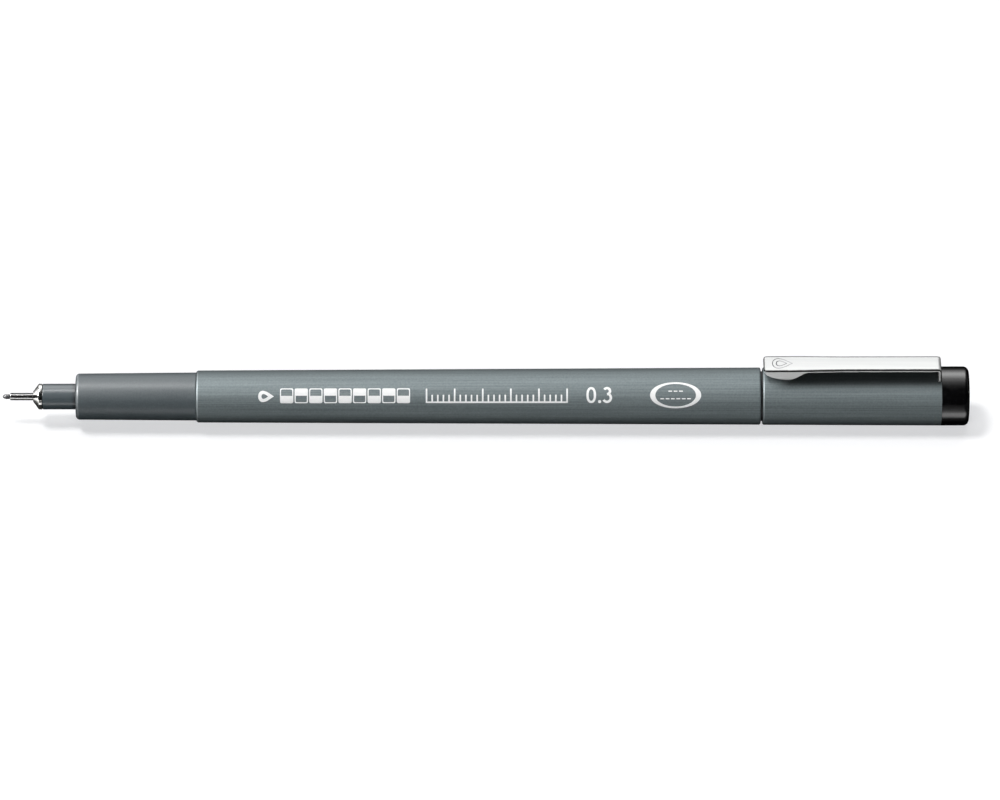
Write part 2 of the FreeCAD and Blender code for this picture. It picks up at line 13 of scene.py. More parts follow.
import bmesh
import bpy
import numpy as np
from mathutils import Euler, Matrix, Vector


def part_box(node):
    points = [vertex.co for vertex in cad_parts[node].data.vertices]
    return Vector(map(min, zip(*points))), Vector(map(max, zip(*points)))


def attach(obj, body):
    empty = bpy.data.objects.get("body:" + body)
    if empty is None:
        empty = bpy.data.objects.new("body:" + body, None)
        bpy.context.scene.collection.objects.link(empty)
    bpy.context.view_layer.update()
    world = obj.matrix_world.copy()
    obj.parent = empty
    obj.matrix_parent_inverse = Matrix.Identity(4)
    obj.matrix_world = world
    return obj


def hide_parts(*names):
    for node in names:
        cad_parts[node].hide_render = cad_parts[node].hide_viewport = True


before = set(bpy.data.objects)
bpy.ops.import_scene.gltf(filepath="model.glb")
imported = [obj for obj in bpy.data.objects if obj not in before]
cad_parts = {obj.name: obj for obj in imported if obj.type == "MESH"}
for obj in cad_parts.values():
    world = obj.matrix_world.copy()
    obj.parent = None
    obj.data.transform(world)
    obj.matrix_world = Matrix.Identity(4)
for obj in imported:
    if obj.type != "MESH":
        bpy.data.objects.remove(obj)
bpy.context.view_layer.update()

MM = 0.001
LOG = logging.getLogger("technical_pen")

Array = np.ndarray
Relief = Callable[[Array, Array, Array], tuple[Array, Array]]


# ---------------------------------------------------------------- places


def span(node: str) -> tuple[float, float]:
    """Where a node starts and ends along the pen.

    Args:
        node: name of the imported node.

    Returns:
        Its lowest and highest X, in millimetres.
    """
    low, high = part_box(node)
    return low[0] / MM, high[0] / MM


def axis_height() -> float:
    """Height of the pen's axis, in millimetres, read from the end plug."""
    low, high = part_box("cap_end_plug")
    return (low[2] + high[2]) / 2 / MM


# ---------------------------------------------------------------- profiles


@dataclass(frozen=True)
class Corner:
    """One corner of a turned profile: place along the piece, radius, rounding, and
    edge_paint, how strongly its rounding takes the finish's rim colour, a painted
    highlight or painted shade."""

    along: float
    radius: float
    round: float = 0.0
    edge_paint: float = 0.0


def arc_points(before: Array, at: Array, after: Array, size: float, steps: int) -> Array:
    """Points of the rounding between two straight lines that meet at a corner.

    The arc's centre lies on the bisector, size / sin(half angle) from the corner,
    and its points turn evenly from one tangent point to the other.

    Args:
        before: the corner before, (2,).
        at: the corner itself, (2,).
        after: the corner behind, (2,).
        size: radius of the rounding.
        steps: straight pieces in the arc.

    Returns:
        The arc's points, (steps + 1, 2).
    """
    back = (before - at) / np.linalg.norm(before - at)
    ahead = (after - at) / np.linalg.norm(after - at)
    half = math.acos(float(np.clip(back @ ahead, -1, 1))) / 2
    middle = back + ahead
    centre = at + middle / np.linalg.norm(middle) * size / math.sin(half)
    first = at + back * size / math.tan(half) - centre
    last = at + ahead * size / math.tan(half) - centre
    sweep = math.pi - 2 * half
    part = np.linspace(0, 1, steps + 1)[:, None]
    turned_by = np.sin((1 - part) * sweep) * first + np.sin(part * sweep) * last
    return centre + turned_by / math.sin(sweep)


def rounded_profile(corners: Sequence[Corner], steps: int = 8, guard: float = 0.05) -> Array:
    """A closed profile with its corners rounded and a guard row beside each arc.

    Args:
        corners: the profile's corners in order, out along the piece and back.
        steps: straight pieces in each arc.
        guard: distance of the guard rows, which keep the flats' shading flat.

    Returns:
        Columns along, radius and rim, where rim swells to its corner's edge_paint late
        in the arc, with the squared sine of its part to the power 2.4, else is 0.
    """
    place = np.array([(c.along, c.radius) for c in corners])
    rows = []
    for i, corner in enumerate(corners):
        before, at, after = place[i - 1], place[i], place[(i + 1) % len(corners)]
        if not corner.round:
            rows.append([[*at, corner.edge_paint]])
            continue
        arc = arc_points(before, at, after, corner.round, steps)
        rim = corner.edge_paint * np.sin(math.pi * np.linspace(0, 1, len(arc)) ** 2.4) ** 2
        near = arc[0] + (before - at) / np.linalg.norm(before - at) * guard
        far = arc[-1] + (after - at) / np.linalg.norm(after - at) * guard
        rows.append(np.array([[*near, 0.0]]))
        rows.append(np.column_stack([arc, rim]))
        rows.append(np.array([[*far, 0.0]]))
    return np.vstack(rows)


def long_runs_split(profile: Array, longest: float = 6.0) -> Array:
    """The profile with extra rows in its long runs.

    Args:
        profile: columns along, radius and rim.
        longest: longest run left between two rows.

    Returns:
        The profile with its long runs divided evenly.
    """
    ahead = np.roll(profile, -1, axis=0)
    pieces = np.maximum(1, np.ceil(np.abs(ahead - profile)[:, 0] / longest)).astype(int)
    start = np.repeat(profile, pieces, axis=0)
    stop = np.repeat(ahead, pieces, axis=0)
    first = np.repeat(np.cumsum(pieces) - pieces, pieces)
    part = (np.arange(pieces.sum()) - first) / np.repeat(pieces, pieces)
    rows = start + (stop - start) * part[:, None]
    rows[part > 0, 2] = 0
    return rows


def columns(count: int, cuts: Sequence[float] = ()) -> Array:
    """Angles of a turned piece's columns, doubled at each cut.

    Args:
        count: evenly spaced columns.
        cuts: angles at which a relief starts or stops, in radians.

    Returns:
        The angles in rising order, from 0 at the top towards +Y.
    """
    even = np.linspace(0, math.tau, count, endpoint=False) + 1e-4
    edges = np.asarray(cuts, dtype=float) % math.tau
    return np.sort(np.concatenate([even, edges - 1e-6, edges + 1e-6]))


def spread_edges(count: int, half: float) -> list[float]:
    """Angles of both sides of evenly spread cuts, each half wide to either side."""
    return [k * math.tau / count + side * half for k in range(count) for side in (-1, 1)]


def off_middle(theta: Array, count: int) -> Array:
    """Angle from the nearest of evenly spread middle lines, the first at 0."""
    pitch = math.tau / count
    return (theta + pitch / 2) % pitch - pitch / 2


def smooth(part: Array) -> Array:
    """The smooth step 3 part^2 - 2 part^3, level at 0 and at 1."""
    return part * part * (3 - 2 * part)


# ---------------------------------------------------------------- meshes


def strip_faces(number: Array) -> Array:
    """Faces between rows of point numbers, the last column joined to the first."""
    right = np.roll(number, -1, axis=1)
    return np.stack([number[:-1], right[:-1], right[1:], number[1:]], axis=-1)


def mesh_piece(
    name: str,
    points: Array,
    faces: list | Array,
    rim: Array | None = None,
    weld: float = 1e-7,
    sharp: float = 38.0,
) -> bpy.types.Object:
    """A mesh object at the origin, welded, shaded smooth and sharp at its edges.

    Args:
        name: name of the piece.
        points: its points in metres, (n, 3).
        faces: rows of point numbers.
        rim: a value for each point, stored as the attribute "rim".
        weld: points nearer than this become one.
        sharp: faces that meet at more than this many degrees stay sharp.

    Returns:
        The object, linked to the scene.
    """
    mesh = bpy.data.meshes.new(name)
    rows = faces.tolist() if isinstance(faces, np.ndarray) else faces
    mesh.from_pydata(points.tolist(), [], rows)
    if rim is not None:
        layer = mesh.attributes.new("rim", "FLOAT", "POINT")
        layer.data.foreach_set("value", np.ascontiguousarray(rim, dtype=np.float32))
    work = bmesh.new()
    work.from_mesh(mesh)
    bmesh.ops.remove_doubles(work, verts=work.verts, dist=weld)
    bmesh.ops.dissolve_degenerate(work, edges=work.edges, dist=weld / 10)
    work.to_mesh(mesh)
    work.free()
    mesh.shade_smooth()
    mesh.set_sharp_from_angle(angle=math.radians(sharp))
    piece = bpy.data.objects.new(name, mesh)
    bpy.context.scene.collection.objects.link(piece)
    return piece


def turned(
    name: str,
    start: float,
    corners: Sequence[Corner],
    angles: Array | None = None,
    relief: Relief | None = None,
    steps: int = 8,
    longest: float = 6.0,
) -> bpy.types.Object:
    """A turned piece: its profile carried round the pen's axis.

    Point (row, column) is (start + along, radius sin angle, axis + radius cos angle).

    Args:
        name: name of the piece.
        start: where the profile's zero lies along the pen, in millimetres.
        corners: the closed profile, forwards outside and back inside.
        angles: the columns' angles.
        relief: changes along and radius by place and angle, as for a notch.
        steps: straight pieces in each rounding.
        longest: longest run between two rows.

    Returns:
        The piece.
    """
    profile = long_runs_split(rounded_profile(corners, steps), longest)
    theta = columns(192) if angles is None else angles
    along = np.repeat(profile[:, :1], len(theta), axis=1)
    radius = np.repeat(profile[:, 1:2], len(theta), axis=1)
    if relief is not None:
        along, radius = relief(along, radius, np.broadcast_to(theta, along.shape))
    height = axis_height()
    points = np.stack(
        [start + along, radius * np.sin(theta), height + radius * np.cos(theta)], axis=-1
    ).reshape(-1, 3)
    rows, cols = along.shape
    number = np.arange(rows * cols).reshape(rows, cols)
    below = np.roll(number, -1, axis=0)
    quads = np.stack(
        [number, below, np.roll(below, -1, axis=1), np.roll(number, -1, axis=1)], axis=-1
    ).reshape(-1, 4)
    rim = np.repeat(profile[:, 2], cols)
    return mesh_piece(name, points * MM, quads, rim)


# ---------------------------------------------------------------- finishes


class Texture(Enum):
    """What a surface shows close up."""

    STREAKS = "fine streaks along the pen"
    GRAIN = "fine even mould grain"
    RINGS = "fine drawing rings round the piece"
    FIBRE = "packed fibres along the piece"
    FLOW = "soft cloudy flow of clear plastic"


@dataclass(frozen=True)
class Finish:
    """One finish, its colours in linear light.

    The colour swings between dark and light with the texture, and goes over to
    rim_colour where the piece's rim values mark an edge: a painted highlight or
    painted shade. outline is painted shade at the silhouette as the eye sees it,
    which also lowers the gloss: the slant to the eye at which it starts, the slant
    at which it is darkest, and what is left of the colour there. hollow reads the
    piece's own "shade" values, the painted shade under the clip.
    """

    name: str
    dark: tuple[float, float, float]
    light: tuple[float, float, float]
    rim_colour: tuple[float, float, float]
    texture: Texture
    rough: tuple[float, float]
    rim: float = 0.0
    metallic: float = 0.0
    ior: float = 1.5
    coat: float = 0.0
    coat_rough: float = 0.1
    along: float = 300.0
    across: float = 6000.0
    relief: float = 0.2
    relief_height: float = 0.00001
    smudge: float = 0.1
    specks: float = 0.0
    see_through: float = 0.0
    outline: tuple[float, float, float] | None = None
    hollow: bool = False


def new_group(name: str, inputs: dict[str, str], outputs: dict[str, str]) -> tuple:
    """An empty shader node group with named sockets.

    Args:
        name: name of the group.
        inputs: socket name to socket type.
        outputs: socket name to socket type.

    Returns:
        The group, its input node and its output node.
    """
    group = bpy.data.node_groups.new(name, "ShaderNodeTree")
    for label, kind in inputs.items():
        group.interface.new_socket(name=label, in_out="INPUT", socket_type=kind)
    for label, kind in outputs.items():
        group.interface.new_socket(name=label, in_out="OUTPUT", socket_type=kind)
    return group, group.nodes.new("NodeGroupInput"), group.nodes.new("NodeGroupOutput")


VALUE = "NodeSocketFloat"
VECTOR = "NodeSocketVector"


def node(tree: bpy.types.NodeTree, kind: str, inputs: dict, **options) -> bpy.types.Node:
    """A shader node with its options set and its inputs filled.

    Args:
        tree: the tree that it joins.
        kind: its type, without "ShaderNode".
        inputs: socket name or number to a number or another node's output.
        options: the node's own options, such as operation.

    Returns:
        The node.
    """
    made = tree.nodes.new("ShaderNode" + kind)
    for option, value in options.items():
        setattr(made, option, value)
    for socket, value in inputs.items():
        if isinstance(value, bpy.types.NodeSocket):
            tree.links.new(value, made.inputs[socket])
        else:
            made.inputs[socket].default_value = value
    return made


def ranged(tree: bpy.types.NodeTree, value, start: float, stop: float, low=0.0, high=1.0):
    """A value carried from start..stop to low..high, and held there outside."""
    ends = {"From Min": start, "From Max": stop, "To Min": low, "To Max": high}
    return node(tree, "MapRange", {"Value": value} | ends).outputs["Result"]


def summed(tree: bpy.types.NodeTree, operation: str, first, second=0.5, clamp=False):
    """One sum on two values, each an output or a number."""
    inputs = {0: first, 1: second}
    return node(tree, "Math", inputs, operation=operation, use_clamp=clamp).outputs[0]


def blend(tree: bpy.types.NodeTree, factor, first, second):
    """A colour between two, each a grey, a colour or another node's output."""
    mix = node(tree, "Mix", {"Factor": factor}, data_type="RGBA")
    sockets = [s for s in mix.inputs if s.type == "RGBA"]
    for socket, value in zip(sockets, (first, second), strict=True):
        if isinstance(value, bpy.types.NodeSocket):
            tree.links.new(value, socket)
        else:
            colour = value if isinstance(value, tuple) else (value,) * 3
            socket.default_value = (*colour, 1.0)
    return next(s for s in mix.outputs if s.type == "RGBA")


def surface_grain_group() -> bpy.types.NodeTree:
    """Noise stretched along the pen with fine specks mixed in, as a value and a height.

    The place is multiplied by (along, across, across) before the noise, so a small
    along and a large across give streaks, and equal ones give grain.

    Returns:
        The group with inputs Place, Along, Across, Detail, Specks and outputs Shade,
        Height.
    """
    inputs = {"Place": VECTOR} | dict.fromkeys(("Along", "Across", "Detail", "Specks"), VALUE)
    group, start, end = new_group("surface grain", inputs, {"Shade": VALUE, "Height": VALUE})
    given = start.outputs
    sizes = {"X": given["Along"], "Y": given["Across"], "Z": given["Across"]}
    stretch = node(group, "CombineXYZ", sizes).outputs[0]
    inputs = {0: given["Place"], 1: stretch}
    place = node(group, "VectorMath", inputs, operation="MULTIPLY").outputs[0]
    inputs = {"Scale": 1.0, "Roughness": 0.62, "Vector": place, "Detail": given["Detail"]}
    fine = node(group, "TexNoise", inputs).outputs["Fac"]
    inputs = {"Scale": 3600.0, "Detail": 1.0, "Vector": given["Place"]}
    specks = node(group, "TexNoise", inputs).outputs["Fac"]
    both = node(group, "Mix", {"Factor": given["Specks"], "A": fine, "B": specks})
    shade = ranged(group, both.outputs["Result"], 0.34, 0.66)
    group.links.new(shade, end.inputs["Shade"])
    group.links.new(fine, end.inputs["Height"])
    return group


def handling_group() -> bpy.types.NodeTree:
    """Faint cloudy marks of handling: two noises of different size, multiplied.

    Returns:
        The group with inputs Place, Amount and output Mask.
    """
    group, start, end = new_group(
        "handling marks", {"Place": VECTOR, "Amount": VALUE}, {"Mask": VALUE}
    )
    place = start.outputs["Place"]
    masks = [
        node(group, "TexNoise", {"Scale": scale, "Detail": 3.0, "Vector": place}).outputs["Fac"]
        for scale in (90.0, 420.0)
    ]
    both = summed(group, "MULTIPLY", *masks)
    scaled = summed(group, "MULTIPLY", both, start.outputs["Amount"])
    group.links.new(scaled, end.inputs["Mask"])
    return group


def rim_group() -> bpy.types.NodeTree:
    """Painted edge highlight and shade: the piece's own rim values, broken up by a small noise.

    Returns:
        The group with inputs Place, Amount and output Mask.
    """
    group, start, end = new_group(
        "painted edges", {"Place": VECTOR, "Amount": VALUE}, {"Mask": VALUE}
    )
    rim = node(group, "Attribute", {}, attribute_name="rim").outputs["Fac"]
    inputs = {"Scale": 1800.0, "Vector": start.outputs["Place"]}
    edge_noise = node(group, "TexNoise", inputs).outputs["Fac"]
    patchy_edge = summed(group, "MULTIPLY", rim, ranged(group, edge_noise, 0.25, 0.6, 0.7))
    amount = summed(group, "MULTIPLY", patchy_edge, start.outputs["Amount"], clamp=True)
    group.links.new(amount, end.inputs["Mask"])
    return group


class FinishShop:
    """Makes each finish's material once, out of the shared groups."""

    def __init__(self) -> None:
        """Builds the shared groups."""
        self.grain = surface_grain_group()
        self.handling = handling_group()
        self.edges = rim_group()
        self.made: dict[str, bpy.types.Material] = {}

    def material(self, finish: Finish) -> bpy.types.Material:
        """The material of a finish.

        Args:
            finish: the finish to make.

        Returns:
            Its material, made on first use.
        """
        if finish.name not in self.made:
            self.made[finish.name] = self._make(finish)
        return self.made[finish.name]

    def dress(self, piece: bpy.types.Object, finish: Finish) -> None:
        """Puts the finish on a piece.

        Args:
            piece: a mesh object.
            finish: its finish.
        """
        piece.data.materials.clear()
        piece.data.materials.append(self.material(finish))

    def _group(self, tree: bpy.types.NodeTree, group: bpy.types.NodeTree, place, **values):
        """A group node fed with the place and its own values."""
        return node(tree, "Group", {"Place": place} | values, node_tree=group).outputs

    def _make(self, finish: Finish) -> bpy.types.Material:
        """Builds the node tree of one finish."""
        material = bpy.data.materials.new(finish.name)
        material.use_nodes = True
        tree = material.node_tree
        shader = tree.nodes["Principled BSDF"].inputs
        place = node(tree, "TexCoord", {}).outputs["Object"]
        cloudy = finish.texture in (Texture.RINGS, Texture.FLOW)
        grain = self._group(
            tree,
            self.grain,
            place,
            Along=finish.along,
            Across=finish.across,
            Detail=2.0 if cloudy else 5.0,
            Specks=finish.specks,
        )
        marks = self._group(tree, self.handling, place, Amount=finish.smudge)["Mask"]
        edges = self._group(tree, self.edges, place, Amount=finish.rim)["Mask"]
        colour = blend(tree, grain["Shade"], finish.dark, finish.light)
        # The rim values carry rim_colour onto the marked edges: a painted highlight or painted
        # shade.
        colour = blend(tree, edges, colour, finish.rim_colour)
        painted_shade = None
        # Painted shade at the silhouette: by the slant to the eye the colour darkens towards
        # the finish's dark colour and gloss is taken away.
        if finish.outline:
            start, stop, left = finish.outline
            facing = node(tree, "LayerWeight", {}).outputs["Facing"]
            turn = ranged(tree, facing, start, stop)
            colour = blend(tree, turn, colour, tuple(c * left for c in finish.dark))
            painted_shade = summed(tree, "MULTIPLY", turn, 1 - left)
        # Painted shade under the clip, from the piece's "shade" values: the colour goes to
        # black and gloss is taken away.
        if finish.hollow:
            hollow = node(tree, "Attribute", {}, attribute_name="shade").outputs["Fac"]
            colour = blend(tree, hollow, colour, 0.0)
            painted_shade = hollow if painted_shade is None else summed(tree, "MAXIMUM", painted_shade, hollow)
        shader["Metallic"].default_value = finish.metallic
        for label in ("Specular IOR Level", "Metallic"):
            full = shader[label].default_value
            if painted_shade is not None and full:
                tree.links.new(ranged(tree, painted_shade, 0.0, 1.0, full, 0.0), shader[label])
        tree.links.new(colour, shader["Base Color"])
        rough = ranged(tree, grain["Shade"], 0.0, 1.0, *finish.rough)
        tree.links.new(summed(tree, "ADD", rough, marks), shader["Roughness"])
        relief = {"Strength": finish.relief, "Distance": finish.relief_height}
        bump = node(tree, "Bump", relief | {"Height": grain["Height"]})
        tree.links.new(bump.outputs["Normal"], shader["Normal"])
        shader["IOR"].default_value = finish.ior
        shader["Coat Weight"].default_value = finish.coat
        shader["Coat Roughness"].default_value = finish.coat_rough
        shader["Transmission Weight"].default_value = finish.see_through
        return material

    def fit(self, piece: bpy.types.Object, finish: Finish, body: str, slot: str, *nodes: str):
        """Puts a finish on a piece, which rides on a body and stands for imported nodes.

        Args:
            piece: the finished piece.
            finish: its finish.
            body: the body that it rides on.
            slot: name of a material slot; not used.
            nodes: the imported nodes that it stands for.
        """
        self.dress(piece, finish)
        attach(piece, body)
        if nodes:
            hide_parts(*nodes)
        LOG.info("%s: %d faces, on %s", piece.name, len(piece.data.polygons), body)

    def keep(self, name: str, finish: Finish, slot: str) -> None:
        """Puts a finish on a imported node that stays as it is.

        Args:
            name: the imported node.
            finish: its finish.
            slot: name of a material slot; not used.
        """
        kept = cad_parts[name]
        self.dress(kept, finish)


# In these finishes outline is painted shade at the silhouette, and rim_colour is a painted
# highlight on the grip, barrel and cap mouth, painted shade on the sleeve and the ferrule's
# groove, and a painted dark reflection on the clip's edges.
TIP_FIBRE = Finish(
    "tip fibre",
    (0.014, 0.014, 0.017),
    (0.048, 0.049, 0.057),
    (0.10, 0.10, 0.11),
    Texture.FIBRE,
    (0.24, 0.34),
    ior=1.9,
    along=900.0,
    across=9000.0,
    relief=0.3,
    relief_height=0.000006,
    outline=(0.35, 0.6, 0.05),
)
TIP_STEEL = Finish(
    "drawn tip steel",
    (0.84, 0.84, 0.83),
    (0.92, 0.92, 0.91),
    (0.95, 0.95, 0.94),
    Texture.RINGS,
    (0.10, 0.17),
    metallic=1.0,
    along=9000.0,
    across=600.0,
    relief=0.1,
    relief_height=0.000002,
    smudge=0.03,
    outline=(0.20, 0.32, 0.02),
)
FERRULE_METAL = Finish(
    "polished ferrule metal",
    (0.86, 0.86, 0.83),
    (0.94, 0.94, 0.91),
    (0.02, 0.02, 0.02),
    Texture.RINGS,
    (0.08, 0.14),
    rim=1.3,
    metallic=1.0,
    along=7000.0,
    across=500.0,
    relief=0.08,
    relief_height=0.000002,
    smudge=0.03,
    outline=(0.54, 0.67, 0.03),
)
SLEEVE_PLASTIC = Finish(
    "smoky sleeve plastic",
    (0.062, 0.082, 0.092),
    (0.068, 0.089, 0.100),
    (0.008, 0.009, 0.010),
    Texture.FLOW,
    (0.28, 0.30),
    rim=1.0,
    ior=1.9,
    coat=0.2,
    coat_rough=0.1,
    along=2600.0,
    across=2600.0,
    relief=0.03,
    relief_height=0.000002,
    smudge=0.02,
    outline=(0.60, 0.85, 0.25),
)
GRIP_PLASTIC = Finish(
    "matt grip plastic",
    (0.056, 0.073, 0.081),
    (0.078, 0.099, 0.108),
    (0.45, 0.49, 0.51),
    Texture.GRAIN,
    (0.37, 0.45),
    rim=1.0,
    ior=1.72,
    along=4200.0,
    across=4200.0,
    relief=0.45,
    relief_height=0.000010,
    smudge=0.08,
    outline=(0.72, 0.97, 0.35),
)
BARREL_LACQUER = Finish(
    "streaked barrel lacquer",
    (0.110, 0.138, 0.145),
    (0.194, 0.231, 0.238),
    (0.44, 0.49, 0.51),
    Texture.STREAKS,
    (0.52, 0.60),
    rim=1.0,
    metallic=0.3,
    ior=1.5,
    along=28.0,
    across=4800.0,
    relief=0.35,
    relief_height=0.000005,
    smudge=0.06,
    specks=0.28,
    outline=(0.30, 1.0, 0.45),
    hollow=True,
)
PLUG_BLACK = Finish(
    "gloss black plug",
    (0.0010, 0.0010, 0.0012),
    (0.0018, 0.0018, 0.0022),
    (0.004, 0.004, 0.005),
    Texture.FLOW,
    (0.12, 0.18),
    ior=2.15,
    along=900.0,
    across=900.0,
    relief=0.04,
    relief_height=0.000004,
    smudge=0.03,
    outline=(0.44, 0.55, 0.08),
)
TAIL_BLACK = Finish(
    "satin tail plastic",
    (0.012, 0.012, 0.013),
    (0.022, 0.022, 0.024),
    (0.05, 0.05, 0.05),
    Texture.GRAIN,
    (0.32, 0.45),
    rim=0.4,
    along=4000.0,
    across=4000.0,
    relief=0.25,
    relief_height=0.000008,
)
LINER_PLASTIC = Finish(
    "waxy liner plastic",
    (0.60, 0.60, 0.57),
    (0.70, 0.70, 0.67),
    (0.75, 0.75, 0.72),
    Texture.FLOW,
    (0.40, 0.52),
    along=1200.0,
    across=1200.0,
    relief=0.15,
    relief_height=0.000008,
)
CLIP_STEEL = Finish(
    "bright clip steel",
    (0.72, 0.73, 0.725),
    (0.78, 0.79, 0.785),
    (0.03, 0.03, 0.03),
    Texture.STREAKS,
    (0.16, 0.22),
    rim=1.3,
    metallic=0.5,
    along=60.0,
    across=6000.0,
    relief=0.1,
    relief_height=0.000003,
    smudge=0.05,
    outline=(0.66, 0.85, 0.1),
)
CLIP_MARK = Finish(
    "engraved line in clip steel",
    (0.10, 0.10, 0.11),
    (0.16, 0.16, 0.17),
    (0.35, 0.35, 0.35),
    Texture.STREAKS,
    (0.45, 0.55),
    metallic=1.0,
    along=300.0,
    across=5000.0,
)
PRINT_WHITE = Finish(
    "white print ink",
    (0.90, 0.91, 0.91),
    (0.96, 0.96, 0.96),
    (0.85, 0.85, 0.85),
    Texture.GRAIN,
    (0.45, 0.60),
    along=6000.0,
    across=6000.0,
    relief=0.2,
    relief_height=0.000006,
)
INK_FIBRE = Finish(
    "ink-soaked fibre",
    (0.008, 0.008, 0.010),
    (0.035, 0.035, 0.042),
    (0.04, 0.04, 0.05),
    Texture.FIBRE,
    (0.6, 0.8),
    along=200.0,
    across=7000.0,
    relief=0.6,
    relief_height=0.00004,
)
WRAP_FILM = Finish(
    "clear film",
    (0.55, 0.55, 0.52),
    (0.66, 0.66, 0.62),
    (0.7, 0.7, 0.7),
    Texture.FLOW,
    (0.12, 0.22),
    see_through=0.4,
    along=250.0,
    across=900.0,
    relief=0.2,
    relief_height=0.00001,
)


# ---------------------------------------------------------------- the pieces


@dataclass
class WritingEnd:
    """The clad writing tip, its ferrule and the nib sleeve."""

    shop: FinishShop
    tip_radius: float = 0.39
    neck_radius: float = 0.345
    nose_length: float = 0.62
    neck_start: float = 0.95
    tube_radius: float = 0.60
    shank_radius: float = 0.77
    tube_reach: float = 3.70
    cone_nose_radius: float = 0.83
    cone_length: float = 0.88
    band_length: float = 0.55
    relief_length: float = 0.12
    relief_depth: float = 0.12
    cone_spigot_radius: float = 1.45
    sleeve_radius: float = 2.07
    reach: float = 5.33
    shade_start: float = 4.60
    sleeve_to_flange: float = 9.33
    flange_length: float = 1.20
    flange_radius: float = 2.85
    sleeve_tail_radius: float = 1.70
    wick_bore: float = 1.05
    socket_length: float = 3.00
    vents: int = 4
    vent_half_width: float = 0.25
    vent_depth: float = 0.35

    def build(self) -> None:
        """Builds and dresses every piece of the writing end."""
        self._tip()
        self._tube()
        self._ferrule()
        self._sleeve()
        self.shop.keep("feed_wick", INK_FIBRE, "wick_fibre")

    def _tip(self) -> None:
        """The tip: a half ellipse for its nose, a worn shoulder and a narrower neck."""
        start, end = span("writing_tip")
        turn = np.linspace(0, math.pi / 2, 14)
        nose = [
            Corner(self.nose_length * (1 - math.cos(t)), self.tip_radius * math.sin(t))
            for t in turn
        ]
        shape = [
            *nose,
            Corner(self.neck_start, self.tip_radius, 0.03),
            Corner(self.neck_start + 0.06, self.neck_radius),
            Corner(end - start, self.neck_radius),
            Corner(end - start, 0.0),
        ]
        piece = turned("tip_core", start, shape, columns(64), steps=4)
        self.shop.fit(piece, TIP_FIBRE, "pen_body", "tip_fibre", "writing_tip")

    def _tube(self) -> None:
        """The drawn tube with its rolled mouth and hidden thicker shank."""
        start, end = span("nib_tube")
        bore = self.tip_radius + 0.02
        shape = [
            Corner(0.0, bore, 0.05),
            Corner(0.0, self.tube_radius, 0.06),
            Corner(self.tube_reach, self.tube_radius),
            Corner(self.tube_reach, self.shank_radius),
            Corner(end - start, self.shank_radius),
            Corner(end - start, bore),
        ]
        piece = turned("tip_tube", start, shape, columns(96), steps=6, longest=0.6)
        self.shop.fit(piece, TIP_STEEL, "pen_body", "nib_steel", "nib_tube")

    def _ferrule(self) -> None:
        """The ferrule: cone, rounded shoulder, band, groove with painted shade, and spigot."""
        start, end = span("nib_cone")
        bore = self.shank_radius + 0.02
        band = self.cone_length + self.band_length
        shoulder = band + self.relief_length
        shape = [
            Corner(0.0, bore),
            Corner(0.0, self.cone_nose_radius, 0.02),
            Corner(self.cone_length, self.sleeve_radius, 0.25),
            Corner(band, self.sleeve_radius, 0.04),
            # The groove's two corners take the ferrule's near-black rim colour: painted shade.
            Corner(band, self.sleeve_radius - self.relief_depth, 0.0, 1.0),
            Corner(shoulder, self.sleeve_radius - self.relief_depth, 0.0, 1.0),
            Corner(shoulder, self.cone_spigot_radius),
            Corner(end - start, self.cone_spigot_radius),
            Corner(end - start, bore),
        ]
        piece = turned("ferrule", start, shape, columns(128), longest=0.3)
        self.shop.fit(piece, FERRULE_METAL, "pen_body", "ferrule_metal", "nib_cone")

    def _sleeve(self) -> None:
        """The nib sleeve, its stop flange cut by air channels."""
        start, end = span("nib_sleeve")
        flange_end = self.sleeve_to_flange + self.flange_length
        socket = self.cone_spigot_radius + 0.02
        shape = [
            Corner(0.0, socket),
            Corner(0.0, self.sleeve_radius, 0.05),
            # From shade_start the colour runs to the dark rim colour at reach and back over 0.5
            # mm: painted shade where the sleeve goes into the grip.
            Corner(self.shade_start, self.sleeve_radius),
            Corner(self.reach, self.sleeve_radius, 0.0, 1.0),
            Corner(self.reach + 0.5, self.sleeve_radius),
            Corner(self.sleeve_to_flange, self.sleeve_radius),
            Corner(self.sleeve_to_flange, self.flange_radius),
            Corner(flange_end, self.flange_radius),
            Corner(flange_end, self.sleeve_tail_radius),
            Corner(end - start, self.sleeve_tail_radius),
            Corner(end - start, self.wick_bore),
            Corner(self.socket_length, self.wick_bore),
            Corner(self.socket_length, socket),
        ]
        half = self.vent_half_width / self.flange_radius

        def channels(along: Array, radius: Array, theta: Array) -> tuple[Array, Array]:
            """Lowers the flange's rim inside each air channel."""
            inside = np.abs(off_middle(theta, self.vents)) < half
            inside &= radius > self.flange_radius - 0.01
            return along, np.where(inside, self.flange_radius - self.vent_depth, radius)

        angles = columns(144, spread_edges(self.vents, half))
        piece = turned("nib_carrier", start, shape, angles, channels, longest=1.0)
        self.shop.fit(piece, SLEEVE_PLASTIC, "pen_body", "sleeve_plastic", "nib_sleeve")


@dataclass
class Grip:
    """The matt grip section."""

    shop: FinishShop
    length: float = 19.33
    front_radius: float = 3.70
    rear_radius: float = 3.86
    front_round: float = 0.55
    front_hole: float = 2.09
    hole_length: float = 4.00
    bore: float = 3.00
    spigot_radius: float = 3.45

    def build(self) -> None:
        """Builds and dresses the grip."""
        start, end = span("grip_section")
        shape = [
            Corner(0.0, self.front_hole, 0.12),
            # The front rounding takes the grip's light rim colour: a painted highlight.
            Corner(0.0, self.front_radius, self.front_round, 0.5),
            Corner(self.length, self.rear_radius, 0.08),
            Corner(self.length, self.spigot_radius),
            Corner(end - start, self.spigot_radius),
            Corner(end - start, self.bore),
            Corner(self.hole_length, self.bore),
            Corner(self.hole_length, self.front_hole),
        ]
        piece = turned("grip", start, shape, longest=1.5)
        self.shop.fit(piece, GRIP_PLASTIC, "pen_body", "grip_plastic", "grip_section")


